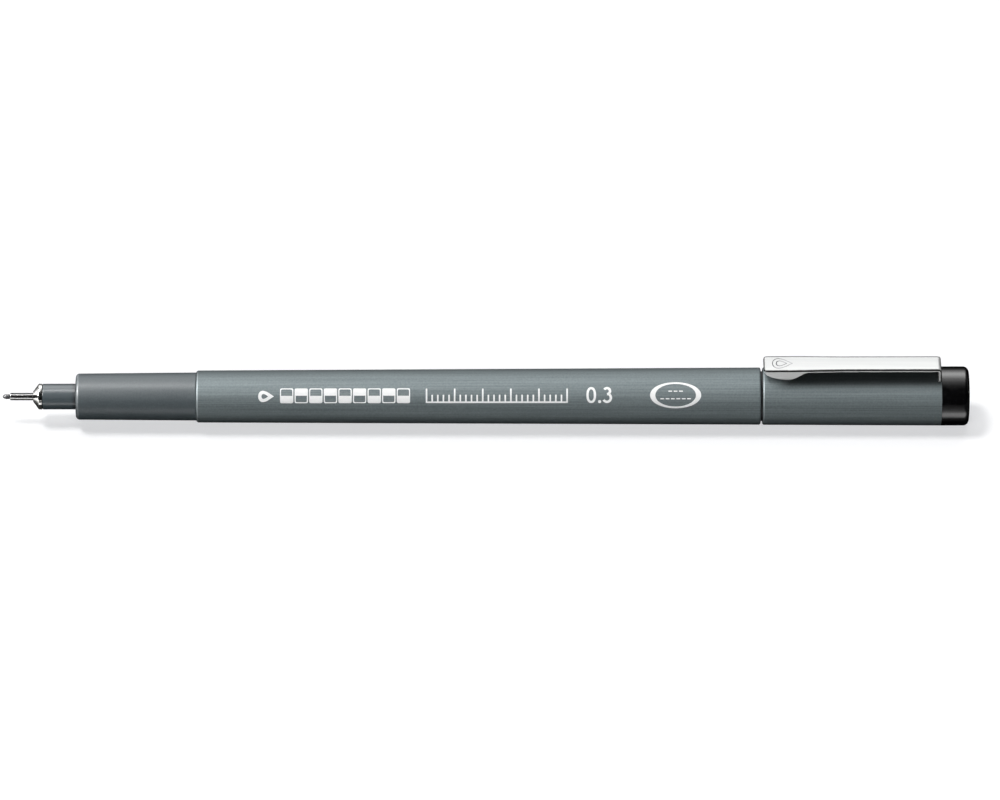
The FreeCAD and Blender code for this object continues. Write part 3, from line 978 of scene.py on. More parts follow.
@dataclass
class Barrel:
    """The streaked barrel with the reservoir and the tail plug."""

    shop: FinishShop
    front_radius: float = 4.18
    rear_radius: float = 4.595
    front_round: float = 0.40
    rear_round: float = 0.30
    front_socket: float = 3.47
    front_socket_length: float = 8.02
    bore: float = 3.55
    rear_socket: float = 3.67
    rear_socket_length: float = 7.52
    ribs: int = 6
    rib_top: float = 2.96
    rib_half_width: float = 0.25
    rib_air: float = 0.60
    tail_spigot: float = 3.65
    tail_spigot_length: float = 7.50
    tail_radius: float = 4.00
    tail_bore: float = 3.00
    tail_wall: float = 1.60
    bead_height: float = 0.05
    bead_start: float = 2.40
    bead_length: float = 1.00
    tail_round: float = 0.60
    gate_radius: float = 0.60
    gate_depth: float = 0.40

    def radius_at(self, along: Array) -> Array:
        """The barrel's outer radius, straight from front to rear.

        Args:
            along: distance behind the barrel's front, in millimetres.

        Returns:
            The radius there, in millimetres.
        """
        start, end = span("barrel_tube")
        part = np.asarray(along) / (end - start)
        return self.front_radius + (self.rear_radius - self.front_radius) * part

    def build(self) -> None:
        """Builds and dresses the barrel, the tail plug and the reservoir."""
        self._tube()
        self._tail()
        self.shop.keep("ink_reservoir", INK_FIBRE, "reservoir_fibre")
        self.shop.keep("reservoir_wrap", WRAP_FILM, "wrap_film")

    def _tube(self) -> None:
        """The tapered tube with its inner ribs."""
        start, end = span("barrel_tube")
        length = end - start
        rib_end = length - self.rear_socket_length - self.rib_air
        rib_start = self.front_socket_length + self.rib_air
        shape = [
            Corner(0.0, self.front_socket),
            # The front rounding takes the lacquer's light rim colour: a painted highlight.
            Corner(0.0, self.front_radius, self.front_round, 0.8),
            Corner(length, self.rear_radius, self.rear_round),
            Corner(length, self.rear_socket),
            Corner(length - self.rear_socket_length, self.rear_socket),
            Corner(length - self.rear_socket_length, self.bore),
            Corner(rib_end + 0.001, self.bore),
            Corner(rib_end, self.bore),
            Corner(rib_start, self.bore),
            Corner(rib_start - 0.001, self.bore),
            Corner(self.front_socket_length, self.bore),
            Corner(self.front_socket_length, self.front_socket),
        ]
        half = self.rib_half_width / self.bore

        def raise_ribs(along: Array, radius: Array, theta: Array) -> tuple[Array, Array]:
            """Draws the bore in to the ribs' tops."""
            inside = np.abs(off_middle(theta, self.ribs)) < half
            inside &= np.abs(radius - self.bore) < 1e-6
            inside &= (along > rib_start - 0.0005) & (along < rib_end + 0.0005)
            return along, np.where(inside, self.rib_top, radius)

        angles = columns(192, spread_edges(self.ribs, half))
        piece = turned("barrel", start, shape, angles, raise_ribs)
        self.shop.fit(piece, BARREL_LACQUER, "pen_body", "barrel_lacquer", "barrel_tube")

    def _tail(self) -> None:
        """The stepped plug with the ring that the cap grips."""
        start, end = span("tail_plug")
        step = self.tail_spigot_length + 0.02
        length = end - start
        bead = self.tail_radius + self.bead_height
        ring = self.tail_spigot_length + self.bead_start
        shape = [
            Corner(0.0, self.tail_bore),
            Corner(0.0, self.tail_spigot, 0.2),
            Corner(step, self.tail_spigot),
            Corner(step, self.tail_radius, 0.05),
            Corner(ring, self.tail_radius),
            Corner(ring + self.bead_height, bead, 0.02),
            Corner(ring + self.bead_length - self.bead_height, bead, 0.02),
            Corner(ring + self.bead_length, self.tail_radius),
            Corner(length, self.tail_radius, self.tail_round),
            Corner(length, self.gate_radius, 0.08),
            Corner(length - self.gate_depth, self.gate_radius),
            Corner(length - self.gate_depth, 0.0),
            Corner(length - self.tail_wall, 0.0),
            Corner(length - self.tail_wall, self.tail_bore),
        ]
        piece = turned("tail", start, shape, columns(160), longest=2.0)
        self.shop.fit(piece, TAIL_BLACK, "pen_body", "tail_plastic", "tail_plug")


@dataclass
class Print:
    """Plain white marks printed on the barrel, placed from its front edge.

    A mark is drawn flat as (along, up) and wrapped: the point lies at the barrel's
    radius, turned from the middle line by up / radius.
    """

    shop: FinishShop
    barrel: Barrel
    middle: float = math.radians(-55.0)
    lift: float = 0.012
    ink: float = 0.02
    drop: tuple[float, float] = (10.05, 12.6)
    scale_bar: tuple[float, float] = (13.45, 34.5)
    ruler: tuple[float, float] = (36.9, 59.7)
    number_left: float = 62.65
    ring_middle: float = 76.95
    points: list = field(default_factory=list)
    faces: list = field(default_factory=list)
    caps: list = field(default_factory=list)
    count: int = 0

    def _wrap(self, flat: Array, lift: float) -> Array:
        """Flat points (..., 2) wrapped on the barrel at a height above it."""
        along, up = flat[..., 0], flat[..., 1]
        theta = self.middle + up / self.barrel.radius_at(along)
        radius = self.barrel.radius_at(along) + lift
        return np.stack(
            [
                span("barrel_tube")[0] + along,
                radius * np.sin(theta),
                axis_height() + radius * np.cos(theta),
            ],
            axis=-1,
        )

    def _add(self, grid: Array, around: bool, ring: bool) -> None:
        """Adds a mark with its thickness: the grid on top, and again underneath.

        Args:
            grid: flat points, (rows, columns, 2).
            around: whether the last column joins the first.
            ring: whether the mark is hollow, so that its last row has a side too.
        """
        top, under = self._wrap(grid, self.lift), self._wrap(grid, self.lift - self.ink)
        order = [top, under[::-1]] if ring else [top[::-1], under]
        points = np.concatenate(order)
        rows, cols = points.shape[:2]
        number = self.count + np.arange(rows * cols).reshape(rows, cols)
        if not ring:
            number = number[:, ::-1]
        quads = strip_faces(np.vstack([number, number[:1]]) if ring else number)
        if not around:
            quads = quads[:, :-1]
            self.caps += [number[::-1, 0].tolist(), number[:, -1].tolist()]
        self.points.append(points.reshape(-1, 3))
        self.faces.append(quads.reshape(-1, 4))
        self.count += rows * cols

    def band(self, outer: Array, inner: Array, rows: int = 3) -> None:
        """Fills the band between two closed outlines, point by point.

        Args:
            outer: outer outline, anticlockwise, (n, 2).
            inner: inner outline with as many points, (n, 2).
            rows: strips across the band.
        """
        part = np.linspace(0, 1, rows + 1)[:, None, None]
        self._add(outer + (inner - outer) * part, around=True, ring=True)

    def disc(self, outline: Array, middle: Array) -> None:
        """Fills a closed outline, anticlockwise, (n, 2), round its middle."""
        part = np.linspace(0, 1, 4)[:, None, None]
        self._add(outline + (middle - outline) * part, around=True, ring=False)

    def box(self, left: float, low: float, right: float, high: float) -> None:
        """A filled bar with slightly rounded corners: a superellipse of power 12.

        Args:
            left: left end.
            low: lower edge.
            right: right end.
            high: upper edge.
        """
        middle = np.array([(left + right) / 2, (low + high) / 2])
        half = np.array([(right - left) / 2, (high - low) / 2])
        self.disc(middle + superellipse(48, 12.0) * half, middle)

    def frame_box(self, left: float, low: float, right: float, high: float, line: float):
        """A hollow bar drawn with a line of the given width."""
        middle = np.array([(left + right) / 2, (low + high) / 2])
        half = np.array([(right - left) / 2, (high - low) / 2])
        shape = superellipse(64, 12.0)
        self.band(middle + shape * half, middle + shape * (half - line))

    def stroke(self, path: Array, width: float) -> None:
        """A line of even width along a path: each point moved half a width to
        either side, square to the path.

        Args:
            path: the line's points, (n, 2).
            width: its width.
        """
        ahead = np.gradient(path, axis=0)
        ahead /= np.linalg.norm(ahead, axis=1)[:, None]
        side = np.stack([-ahead[:, 1], ahead[:, 0]], axis=1) * width / 2
        part = np.linspace(-1, 1, 4)[:, None, None]
        self._add(path + side * -part, around=False, ring=True)

    def build(self) -> None:
        """Draws every mark and makes them one piece."""
        self._drop(*self.drop)
        self._scale_bar(*self.scale_bar)
        self._ruler(*self.ruler)
        self._width_number(self.number_left)
        self._ring(self.ring_middle)
        piece = mesh_piece(
            "barrel_print",
            np.vstack(self.points) * MM,
            np.vstack(self.faces).tolist() + self.caps,
            weld=1e-8,
        )
        self.shop.dress(piece, PRINT_WHITE)
        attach(piece, "pen_body")
        LOG.info("%s: %d faces", piece.name, len(piece.data.polygons))

    def _drop(self, left: float, right: float) -> None:
        """An ink drop lying on its side, with a hollow: radius narrows to a point."""
        angle = np.linspace(0, math.tau, 72, endpoint=False)
        width, half = (right - left) / 2, 1.28
        narrow = half * np.sin(angle) * np.sin(angle / 2) ** 1.4
        outline = np.stack([(left + right) / 2 + width * np.cos(angle), narrow], axis=1)
        middle = np.array([left + width * 0.72, 0.0])
        self.band(outline, middle + (outline - middle) * 0.42)

    def _scale_bar(self, left: float, right: float) -> None:
        """A drawing scale's bar: framed fields, filled above and below in turn."""
        low, high, line = -1.10, 1.30, 0.17
        edges = np.linspace(left, right, 10)
        middle = (low + high) / 2
        for k, (start, end) in enumerate(zip(edges[:-1], edges[1:], strict=True)):
            start, end = start + 0.10, end - 0.10
            self.frame_box(start, low, end, high, line)
            inside = (middle, high - 0.1) if k % 2 else (low + 0.1, middle)
            self.box(start + 0.1, inside[0], end - 0.1, inside[1])

    def _ruler(self, left: float, right: float) -> None:
        """A ruler's graduations on a base line, each fifth one longer."""
        self.box(left, -1.10, right, -0.82)
        for k, along in enumerate(np.linspace(left + 0.14, right - 0.14, 26)):
            top = 1.25 if k % 5 == 0 else 0.25
            self.box(along - 0.13, -0.95, along + 0.13, top)

    def _width_number(self, left: float) -> None:
        """The line width in millimetres, in plain round figures."""
        ring = superellipse(48, 2.3)
        middle = np.array([left + 0.78, 0.19])
        self.band(middle + ring * [0.78, 1.30], middle + ring * [0.40, 0.92])
        dot = np.array([left + 2.12, -0.87])
        self.disc(dot + ring * 0.25, dot)
        turn = np.linspace(0, 1, 20)[:, None]
        centre = np.array([left + 3.30, 0.82])
        upper = centre + 0.49 * arc(math.radians(150) - turn * math.radians(240))
        centre = np.array([left + 3.30, -0.25])
        lower = centre + [0.62, 0.66] * arc(math.radians(80) - turn * math.radians(230))
        self.stroke(upper, 0.40)
        self.stroke(lower, 0.40)

    def _ring(self, middle_along: float) -> None:
        """An oval ring, heavy at its ends, round two rows of short dashes."""
        oval = superellipse(120, 2.0)
        middle = np.array([middle_along, 0.16])
        self.band(middle + oval * [4.10, 2.16], middle + oval * [3.25, 1.86])
        for count, up in ((3, 0.80), (6, -0.42)):
            for k in range(count):
                along = middle_along + (k - (count - 1) / 2) * 0.86
                self.box(along - 0.30, up - 0.09, along + 0.30, up + 0.09)


def superellipse(count: int, power: float) -> Array:
    """Points of |x|^power + |y|^power = 1, anticlockwise.

    Args:
        count: number of points.
        power: 2 for a circle, larger for a squarer shape.

    Returns:
        The points, (count, 2).
    """
    angle = np.linspace(0, math.tau, count, endpoint=False)
    cos, sin = np.cos(angle), np.sin(angle)
    size = (np.abs(cos) ** power + np.abs(sin) ** power) ** (-1 / power)
    return np.stack([cos * size, sin * size], axis=1)


def arc(angle: Array) -> Array:
    """Unit circle points at the angles, (n, 2), from a column of angles."""
    return np.concatenate([np.cos(angle), np.sin(angle)], axis=1)


@dataclass
class Cap:
    """The cap's shell, end plug and sealing liner."""

    shop: FinishShop
    mouth_radius: float = 4.615
    end_radius: float = 4.745
    bore: float = 4.08
    mouth_round: float = 0.30
    mouth_lead: float = 0.18
    notch_depth: float = 0.59
    notch_half_angle: float = math.radians(26.6)
    plug_radius: float = 4.75
    plug_round: float = 0.90
    plug_dome: float = 0.22
    spigot_length: float = 5.00
    spigot_radius: float = 4.06
    recess_floor: float = 3.29
    recess_half_angle: float = math.radians(24.8)
    plug_bore: float = 2.74
    plug_wall: float = 1.00
    liner_bore: float = 2.13
    liner_radius: float = 2.70
    liner_flange_radius: float = 4.04
    liner_flange: float = 1.60
    liner_mouth: float = 2.80
    liner_lead: float = 1.00
    liner_floor: float = 0.57
    # shade_edge to shade_full place the painted shade under the clip.
    shade_edge: float = 3.7
    shade_soft: float = 1.6
    shade_start: float = 0.5
    shade_run: float = 4.0
    shade_full: float = 0.88

    def build(self) -> None:
        """Builds and dresses the cap's pieces."""
        self._shell()
        self._plug()
        self._liner()

    def _shell(self) -> None:
        """The tapered tube, notched at its end for the clip's leg."""
        start, end = span("cap_shell")
        length = end - start
        shape = [
            Corner(0.0, self.bore + self.mouth_lead),
            # The mouth's rounding takes the lacquer's light rim colour: a painted highlight.
            Corner(0.0, self.mouth_radius, self.mouth_round, 0.8),
            Corner(length, self.end_radius, 0.03),
            Corner(length, self.bore),
            Corner(self.mouth_lead, self.bore),
        ]
        half = self.notch_half_angle

        def notch(along: Array, radius: Array, theta: Array) -> tuple[Array, Array]:
            """Draws the end back inside the notch."""
            inside = (np.abs(off_middle(theta, 1)) < half) & (along > length - 0.2)
            return np.where(inside, along - self.notch_depth, along), radius

        piece = turned(
            "cap_tube", start, shape, columns(192, (-half, half)), notch, longest=1.0
        )
        self._paint_clip_shade(piece, start)
        self.shop.fit(piece, BARREL_LACQUER, "cap", "cap_lacquer", "cap_shell")

    def _paint_clip_shade(self, piece: bpy.types.Object, start: float) -> None:
        """Paints shade on the lacquer in the hollow under the clip, where the clip's shadow
        falls.

        The shade is the product of two smooth steps: one falls with the distance from
        the upright plane, the other rises along the cap behind the clip's wings.

        Args:
            piece: the cap's tube.
            start: where the tube starts, in millimetres.
        """
        flat = np.empty(3 * len(piece.data.vertices))
        piece.data.vertices.foreach_get("co", flat)
        x, y, z = flat.reshape(-1, 3).T / MM
        beside = np.clip((self.shade_edge - np.abs(y)) / self.shade_soft, 0, 1)
        behind = np.clip((x - start - self.shade_start) / self.shade_run, 0, 1)
        shade = self.shade_full * smooth(beside) * smooth(behind) * (z > axis_height())
        layer = piece.data.attributes.new("shade", "FLOAT", "POINT")
        layer.data.foreach_set("value", shade.astype(np.float32))

    def _plug(self) -> None:
        """The end plug: a shallow arc over its end, a recess for the clip's foot."""
        start, end = span("cap_end_plug")
        zero = self.spigot_length
        length = end - start - zero
        shoulder = length - self.plug_dome
        flat = self.plug_radius - self.plug_round
        fall = np.linspace(1, 0, 12)[1:]
        dome = [
            Corner(zero + shoulder + self.plug_dome * (1 - f * f), flat * f)
            for f in fall
        ]
        shape = [
            Corner(0.0, self.plug_bore),
            Corner(0.0, self.spigot_radius),
            Corner(zero + 0.02, self.spigot_radius),
            Corner(zero + 0.02, self.plug_radius),
            Corner(zero + shoulder + 0.06, self.plug_radius, self.plug_round),
            *dome,
            Corner(zero + length - self.plug_wall, 0.0),
            Corner(zero + length - self.plug_wall, self.plug_bore),
        ]
        half = self.recess_half_angle

        def recess(along: Array, radius: Array, theta: Array) -> tuple[Array, Array]:
            """Lowers the spigot to a flat floor inside the recess."""
            off = off_middle(theta, 1)
            inside = (np.abs(off) < half) & (np.abs(radius - self.spigot_radius) < 1e-6)
            floor = self.recess_floor / np.cos(np.clip(off, -half, half))
            return along, np.where(inside, floor, radius)

        piece = turned(
            "cap_end", start, shape, columns(192, (-half, half)), recess, longest=1.0
        )
        self.shop.fit(piece, PLUG_BLACK, "cap", "plug_plastic", "cap_end_plug")

    def _liner(self) -> None:
        """The inner cap: funnel, flange and closed tube."""
        start, end = span("cap_liner")
        length = end - start
        shape = [
            Corner(0.0, self.liner_mouth, 0.1),
            Corner(0.0, self.liner_flange_radius, 0.15),
            Corner(self.liner_flange, self.liner_flange_radius),
            Corner(self.liner_flange, self.liner_radius),
            Corner(length, self.liner_radius, 0.3),
            Corner(length, 0.0),
            Corner(length - self.liner_floor, 0.0),
            Corner(length - self.liner_floor, self.liner_bore),
            Corner(self.liner_lead, self.liner_bore),
        ]
        piece = turned("inner_cap", start, shape, columns(128), longest=2.0)
        self.shop.fit(piece, LINER_PLASTIC, "liner", "liner_plastic", "cap_liner")


@dataclass
class Clip:
    """The sheet steel clip: one strip, its section changing along its length.

    The section is a flat bar whose sides grow downwards into the two wings near the
    free end. It is carried along the strip's outer line: flat, bend, leg.
    """

    shop: FinishShop
    sheet: float = 0.43
    top: float = 6.47
    free_top: float = 6.38
    bend: float = 0.65
    leg_foot: float = 4.16
    free_half_width: float = 2.19
    root_half_width: float = 2.02
    corner: float = 0.62
    wing_low: float = 4.05
    wing_length: float = 7.40
    wing_depth: float = 1.50
    wing_lean: float = 0.09
    section_steps: int = 5
    edge_round: float = 0.23
    leg_edge: float = 0.08
    dark_line: float = 0.26
    crown: float = 0.035
    side_lean: float = 0.085
    taper_start: float = 4.0
    taper_run: float = 10.0
    mark_middle: float = 3.05
    mark_half_length: float = 1.66
    mark_half_width: float = 1.95

    def _outer_line(self) -> tuple[Array, Array, Array]:
        """The strip's outer line in the upright plane.

        Returns:
            The distance from the free end, the points (n, 2) and the outward
            normals (n, 2).
        """
        start, end = span("clip_arm")
        run = end - start - self.bend
        near = self.corner * (1 - np.cos(np.linspace(0, math.pi / 2, 12)))
        wing = np.linspace(self.corner, self.wing_length, 72)[1:]
        rest = np.linspace(self.wing_length, run, 28)[1:]
        flat = np.concatenate([near, wing, rest])
        rise = np.interp(flat, [0.0, run * 0.5, run], [0.0, 0.85, 1.0])
        level = self.free_top + (self.top - self.free_top) * rise
        turn = np.linspace(0, math.pi / 2, 15)[1:]
        bent = np.stack([np.sin(turn), np.cos(turn)], axis=1)
        centre = np.array([start + run, self.top - self.bend])
        leg = np.linspace(self.top - self.bend, self.leg_foot, 8)[1:]
        points = np.vstack(
            [
                np.stack([start + flat, level], axis=1),
                centre + bent * self.bend,
                np.stack([np.full_like(leg, end), leg], axis=1),
            ]
        )
        normals = np.vstack(
            [np.tile([0.0, 1.0], (len(flat), 1)), bent, np.tile([1.0, 0.0], (len(leg), 1))]
        )
        step = np.linalg.norm(np.diff(points, axis=0), axis=1)
        return np.concatenate([[0.0], np.cumsum(step)]), points, normals

    def _half_width(self, along: Array) -> Array:
        """Half the strip's width: a smooth taper, with a quarter circle at the end."""
        part = smooth(np.clip((along - self.taper_start) / self.taper_run, 0, 1))
        width = self.free_half_width + (self.root_half_width - self.free_half_width) * part
        inside = np.clip(self.corner - along, 0, self.corner)
        return width - self.corner + np.sqrt(self.corner**2 - inside**2)

    def _wing(self, along: Array) -> Array:
        """Depth of the wings: a quarter sine down, then half a cosine back up."""
        down = np.sin(math.pi / 2 * np.clip(along / self.wing_low, 0, 1) ** 0.75)
        part = np.clip((along - self.wing_low) / (self.wing_length - self.wing_low), 0, 1)
        back = (1 + np.cos(math.pi * part)) / 2
        return self.wing_depth * np.where(along < self.wing_low, down, back)

    def build(self) -> None:
        """Builds the strip, its mark and dresses the hidden foot."""
        along, points, normals = self._outer_line()
        half = self._half_width(along)
        depth = self.sheet + np.maximum(self._wing(along), 0.004)
        side = half - self.side_lean
        lean = self.wing_lean * (depth - self.sheet)
        inside = np.clip(self.edge_round - along, 0, self.edge_round)
        sunk = self.edge_round - np.sqrt(self.edge_round**2 - inside**2)
        sheet = np.full_like(half, self.sheet)
        zero = np.zeros_like(half)
        across = np.stack(
            [half, side, side - lean, side - lean - sheet, side - sheet], axis=1
        )
        down = np.stack([zero, sheet, depth, depth, sheet], axis=1)
        top = np.array([-0.5, 0.0, 0.5])
        across = np.concatenate([half[:, None] * top, across, -across[:, ::-1]], axis=1)
        down = np.concatenate([np.outer(zero, top), down, down[:, ::-1]], axis=1)
        upright = (normals[:, 0] > 0.5).astype(float)
        crown = self.crown * (1 - upright)[:, None] * (across / half[:, None]) ** 2
        down = down + (sunk[:, None] + crown) * (down < 0.5 * self.sheet)
        loop = np.stack([across, down], axis=-1)
        edge = self.edge_round + (self.leg_edge - self.edge_round) * upright
        flat = np.tile([0.01, 0.01, 0.01], (len(edge), 1))
        fixed = np.tile([0.25, 0.07, 0.07, 0.12, 0.12, 0.07, 0.07, 0.25], (len(edge), 1))
        sizes = np.column_stack([flat, edge, fixed, edge])
        edge_paint = np.zeros_like(sizes)
        # The top's two long edges take the clip's near-black rim colour: a painted dark
        # reflection.
        edge_paint[:, [3, -1]] = 1.0
        section, rim = round_loops(loop, sizes, edge_paint, self.section_steps, self.dark_line)
        # The free end's rounded top is painted dark as well, a painted dark reflection.
        painted_dark_end = np.clip(1.2 - along / self.edge_round, 0, 1)[:, None]
        on_top = section[..., 1] < 0.5 * self.sheet
        rim = np.maximum(rim, painted_dark_end * on_top)
        place = points[:, None, :] - normals[:, None, :] * section[..., 1:2]
        solid = np.stack(
            [place[..., 0], section[..., 0], axis_height() + place[..., 1]], axis=-1
        )
        rows, cols = solid.shape[:2]
        number = np.arange(rows * cols).reshape(rows, cols)
        faces = strip_faces(number).reshape(-1, 4).tolist()
        faces.append(number[0, ::-1].tolist())
        faces.append(number[-1].tolist())
        piece = mesh_piece(
            "clip_strip",
            solid.reshape(-1, 3) * MM,
            faces,
            rim.reshape(-1),
            weld=6e-6,
            sharp=45.0,
        )
        work = bmesh.new()
        work.from_mesh(piece.data)
        bmesh.ops.recalc_face_normals(work, faces=work.faces)
        work.to_mesh(piece.data)
        work.free()
        self.shop.fit(piece, CLIP_STEEL, "clip", "clip_steel", "clip_arm")
        self._mark(points)
        self.shop.keep("clip_foot", CLIP_STEEL, "clip_steel")

    def _mark(self, points: Array) -> None:
        """A thin engraved drop on the clip's top, a plain ornament."""
        angle = np.linspace(0, math.tau, 96, endpoint=False)
        narrow = self.mark_half_width * np.sin(angle) * np.sin(angle / 2) ** 1.4
        outline = np.stack([self.mark_half_length * np.cos(angle), narrow], axis=1)
        middle = np.array([points[0, 0] + self.mark_middle, 0.0])
        grids = []
        for outer, inner in ((1.0, 0.93), (0.55, 0.46)):
            part = np.linspace(outer, inner, 3)[:, None, None]
            shift = np.array([-0.35 * (1 - outer), 0.0])
            grids.append(middle + shift + outline * part)
        flat = np.concatenate([g.reshape(-1, 2) for g in grids])
        level = np.interp(flat[:, 0], points[:, 0], points[:, 1]) + 0.006
        solid = np.column_stack([flat[:, 0], flat[:, 1], axis_height() + level])
        rows, cols = grids[0].shape[:2]
        number = np.arange(rows * cols).reshape(rows, cols)
        quads = strip_faces(number).reshape(-1, 4)
        piece = mesh_piece(
            "clip_mark", solid * MM, np.vstack([quads, quads + rows * cols]), weld=1e-8
        )
        skin = piece.modifiers.new("line depth", "SOLIDIFY")
        skin.thickness = 0.012 * MM
        skin.offset = -1.0
        self.shop.fit(piece, CLIP_MARK, "clip", "clip_steel")


def round_loops(
    loops: Array, sizes: Array, edge_paint: Array, steps: int, guard: float
) -> tuple[Array, Array]:
    """Rounds every corner of a stack of closed loops at once.

    At each corner the rounding is cut down to fit 0.45 of its shorter side. The arc
    turns evenly between its tangent points, as in arc_points, and has a guard point
    on either side.

    Args:
        loops: corners, (rows, corners, 2).
        sizes: rounding of each corner, (rows, corners).
        edge_paint: rim value of each corner's arc, (rows, corners), which takes the finish's
            rim colour.
        steps: straight pieces in each arc.
        guard: distance of the guard points, at most 0.45 of the free part of a side.

    Returns:
        The rounded loops, (rows, corners * (steps + 3), 2), and their rim values.
    """
    back = np.roll(loops, 1, axis=1) - loops
    ahead = np.roll(loops, -1, axis=1) - loops
    back_length = np.linalg.norm(back, axis=-1, keepdims=True)
    ahead_length = np.linalg.norm(ahead, axis=-1, keepdims=True)
    back, ahead = back / back_length, ahead / ahead_length
    cosine = np.clip((back * ahead).sum(-1, keepdims=True), -0.999999, 0.999999)
    half = np.arccos(cosine) / 2
    room = 0.45 * np.minimum(back_length, ahead_length) * np.tan(half)
    size = np.minimum(sizes[..., None], room)
    middle = back + ahead
    length = np.maximum(np.linalg.norm(middle, axis=-1, keepdims=True), 1e-9)
    centre = loops + middle / length * size / np.sin(half)
    reach = size / np.tan(half)
    first = loops + back * reach
    last = loops + ahead * reach
    turn = (math.pi - 2 * half)[:, :, None, :]
    part = np.linspace(0, 1, steps + 1)[None, None, :, None]
    arcs = np.sin((1 - part) * turn) * (first - centre)[:, :, None]
    arcs = arcs + np.sin(part * turn) * (last - centre)[:, :, None]
    arcs = centre[:, :, None] + arcs / np.sin(turn)
    free_back = back_length - reach - np.roll(reach, 1, axis=1)
    free_ahead = ahead_length - reach - np.roll(reach, -1, axis=1)
    before = first + back * np.minimum(guard, 0.45 * free_back)
    after = last + ahead * np.minimum(guard, 0.45 * free_ahead)
    points = np.concatenate([before[:, :, None], arcs, after[:, :, None]], axis=2)
    rim = np.zeros(points.shape[:3])
    rim[:, :, 1:-1] = edge_paint[..., None]
    return points.reshape(len(loops), -1, 2), rim.reshape(len(loops), -1)


# ---------------------------------------------------------------- the studio


@dataclass(frozen=True)
class Softbox:
    """A lamp: where its light comes from, its size, power and distance.

    rise is its height above the front horizon, carried over the top, and lean its
    tilt to the left, both in degrees. A lamp without gleam shows in no reflection,
    and one without light shows in nothing else.
    """

    name: str
    rise: float
    lean: float
    size: tuple[float, float]
    energy: float
    distance: float
    gleam: bool = False
    light: bool = True


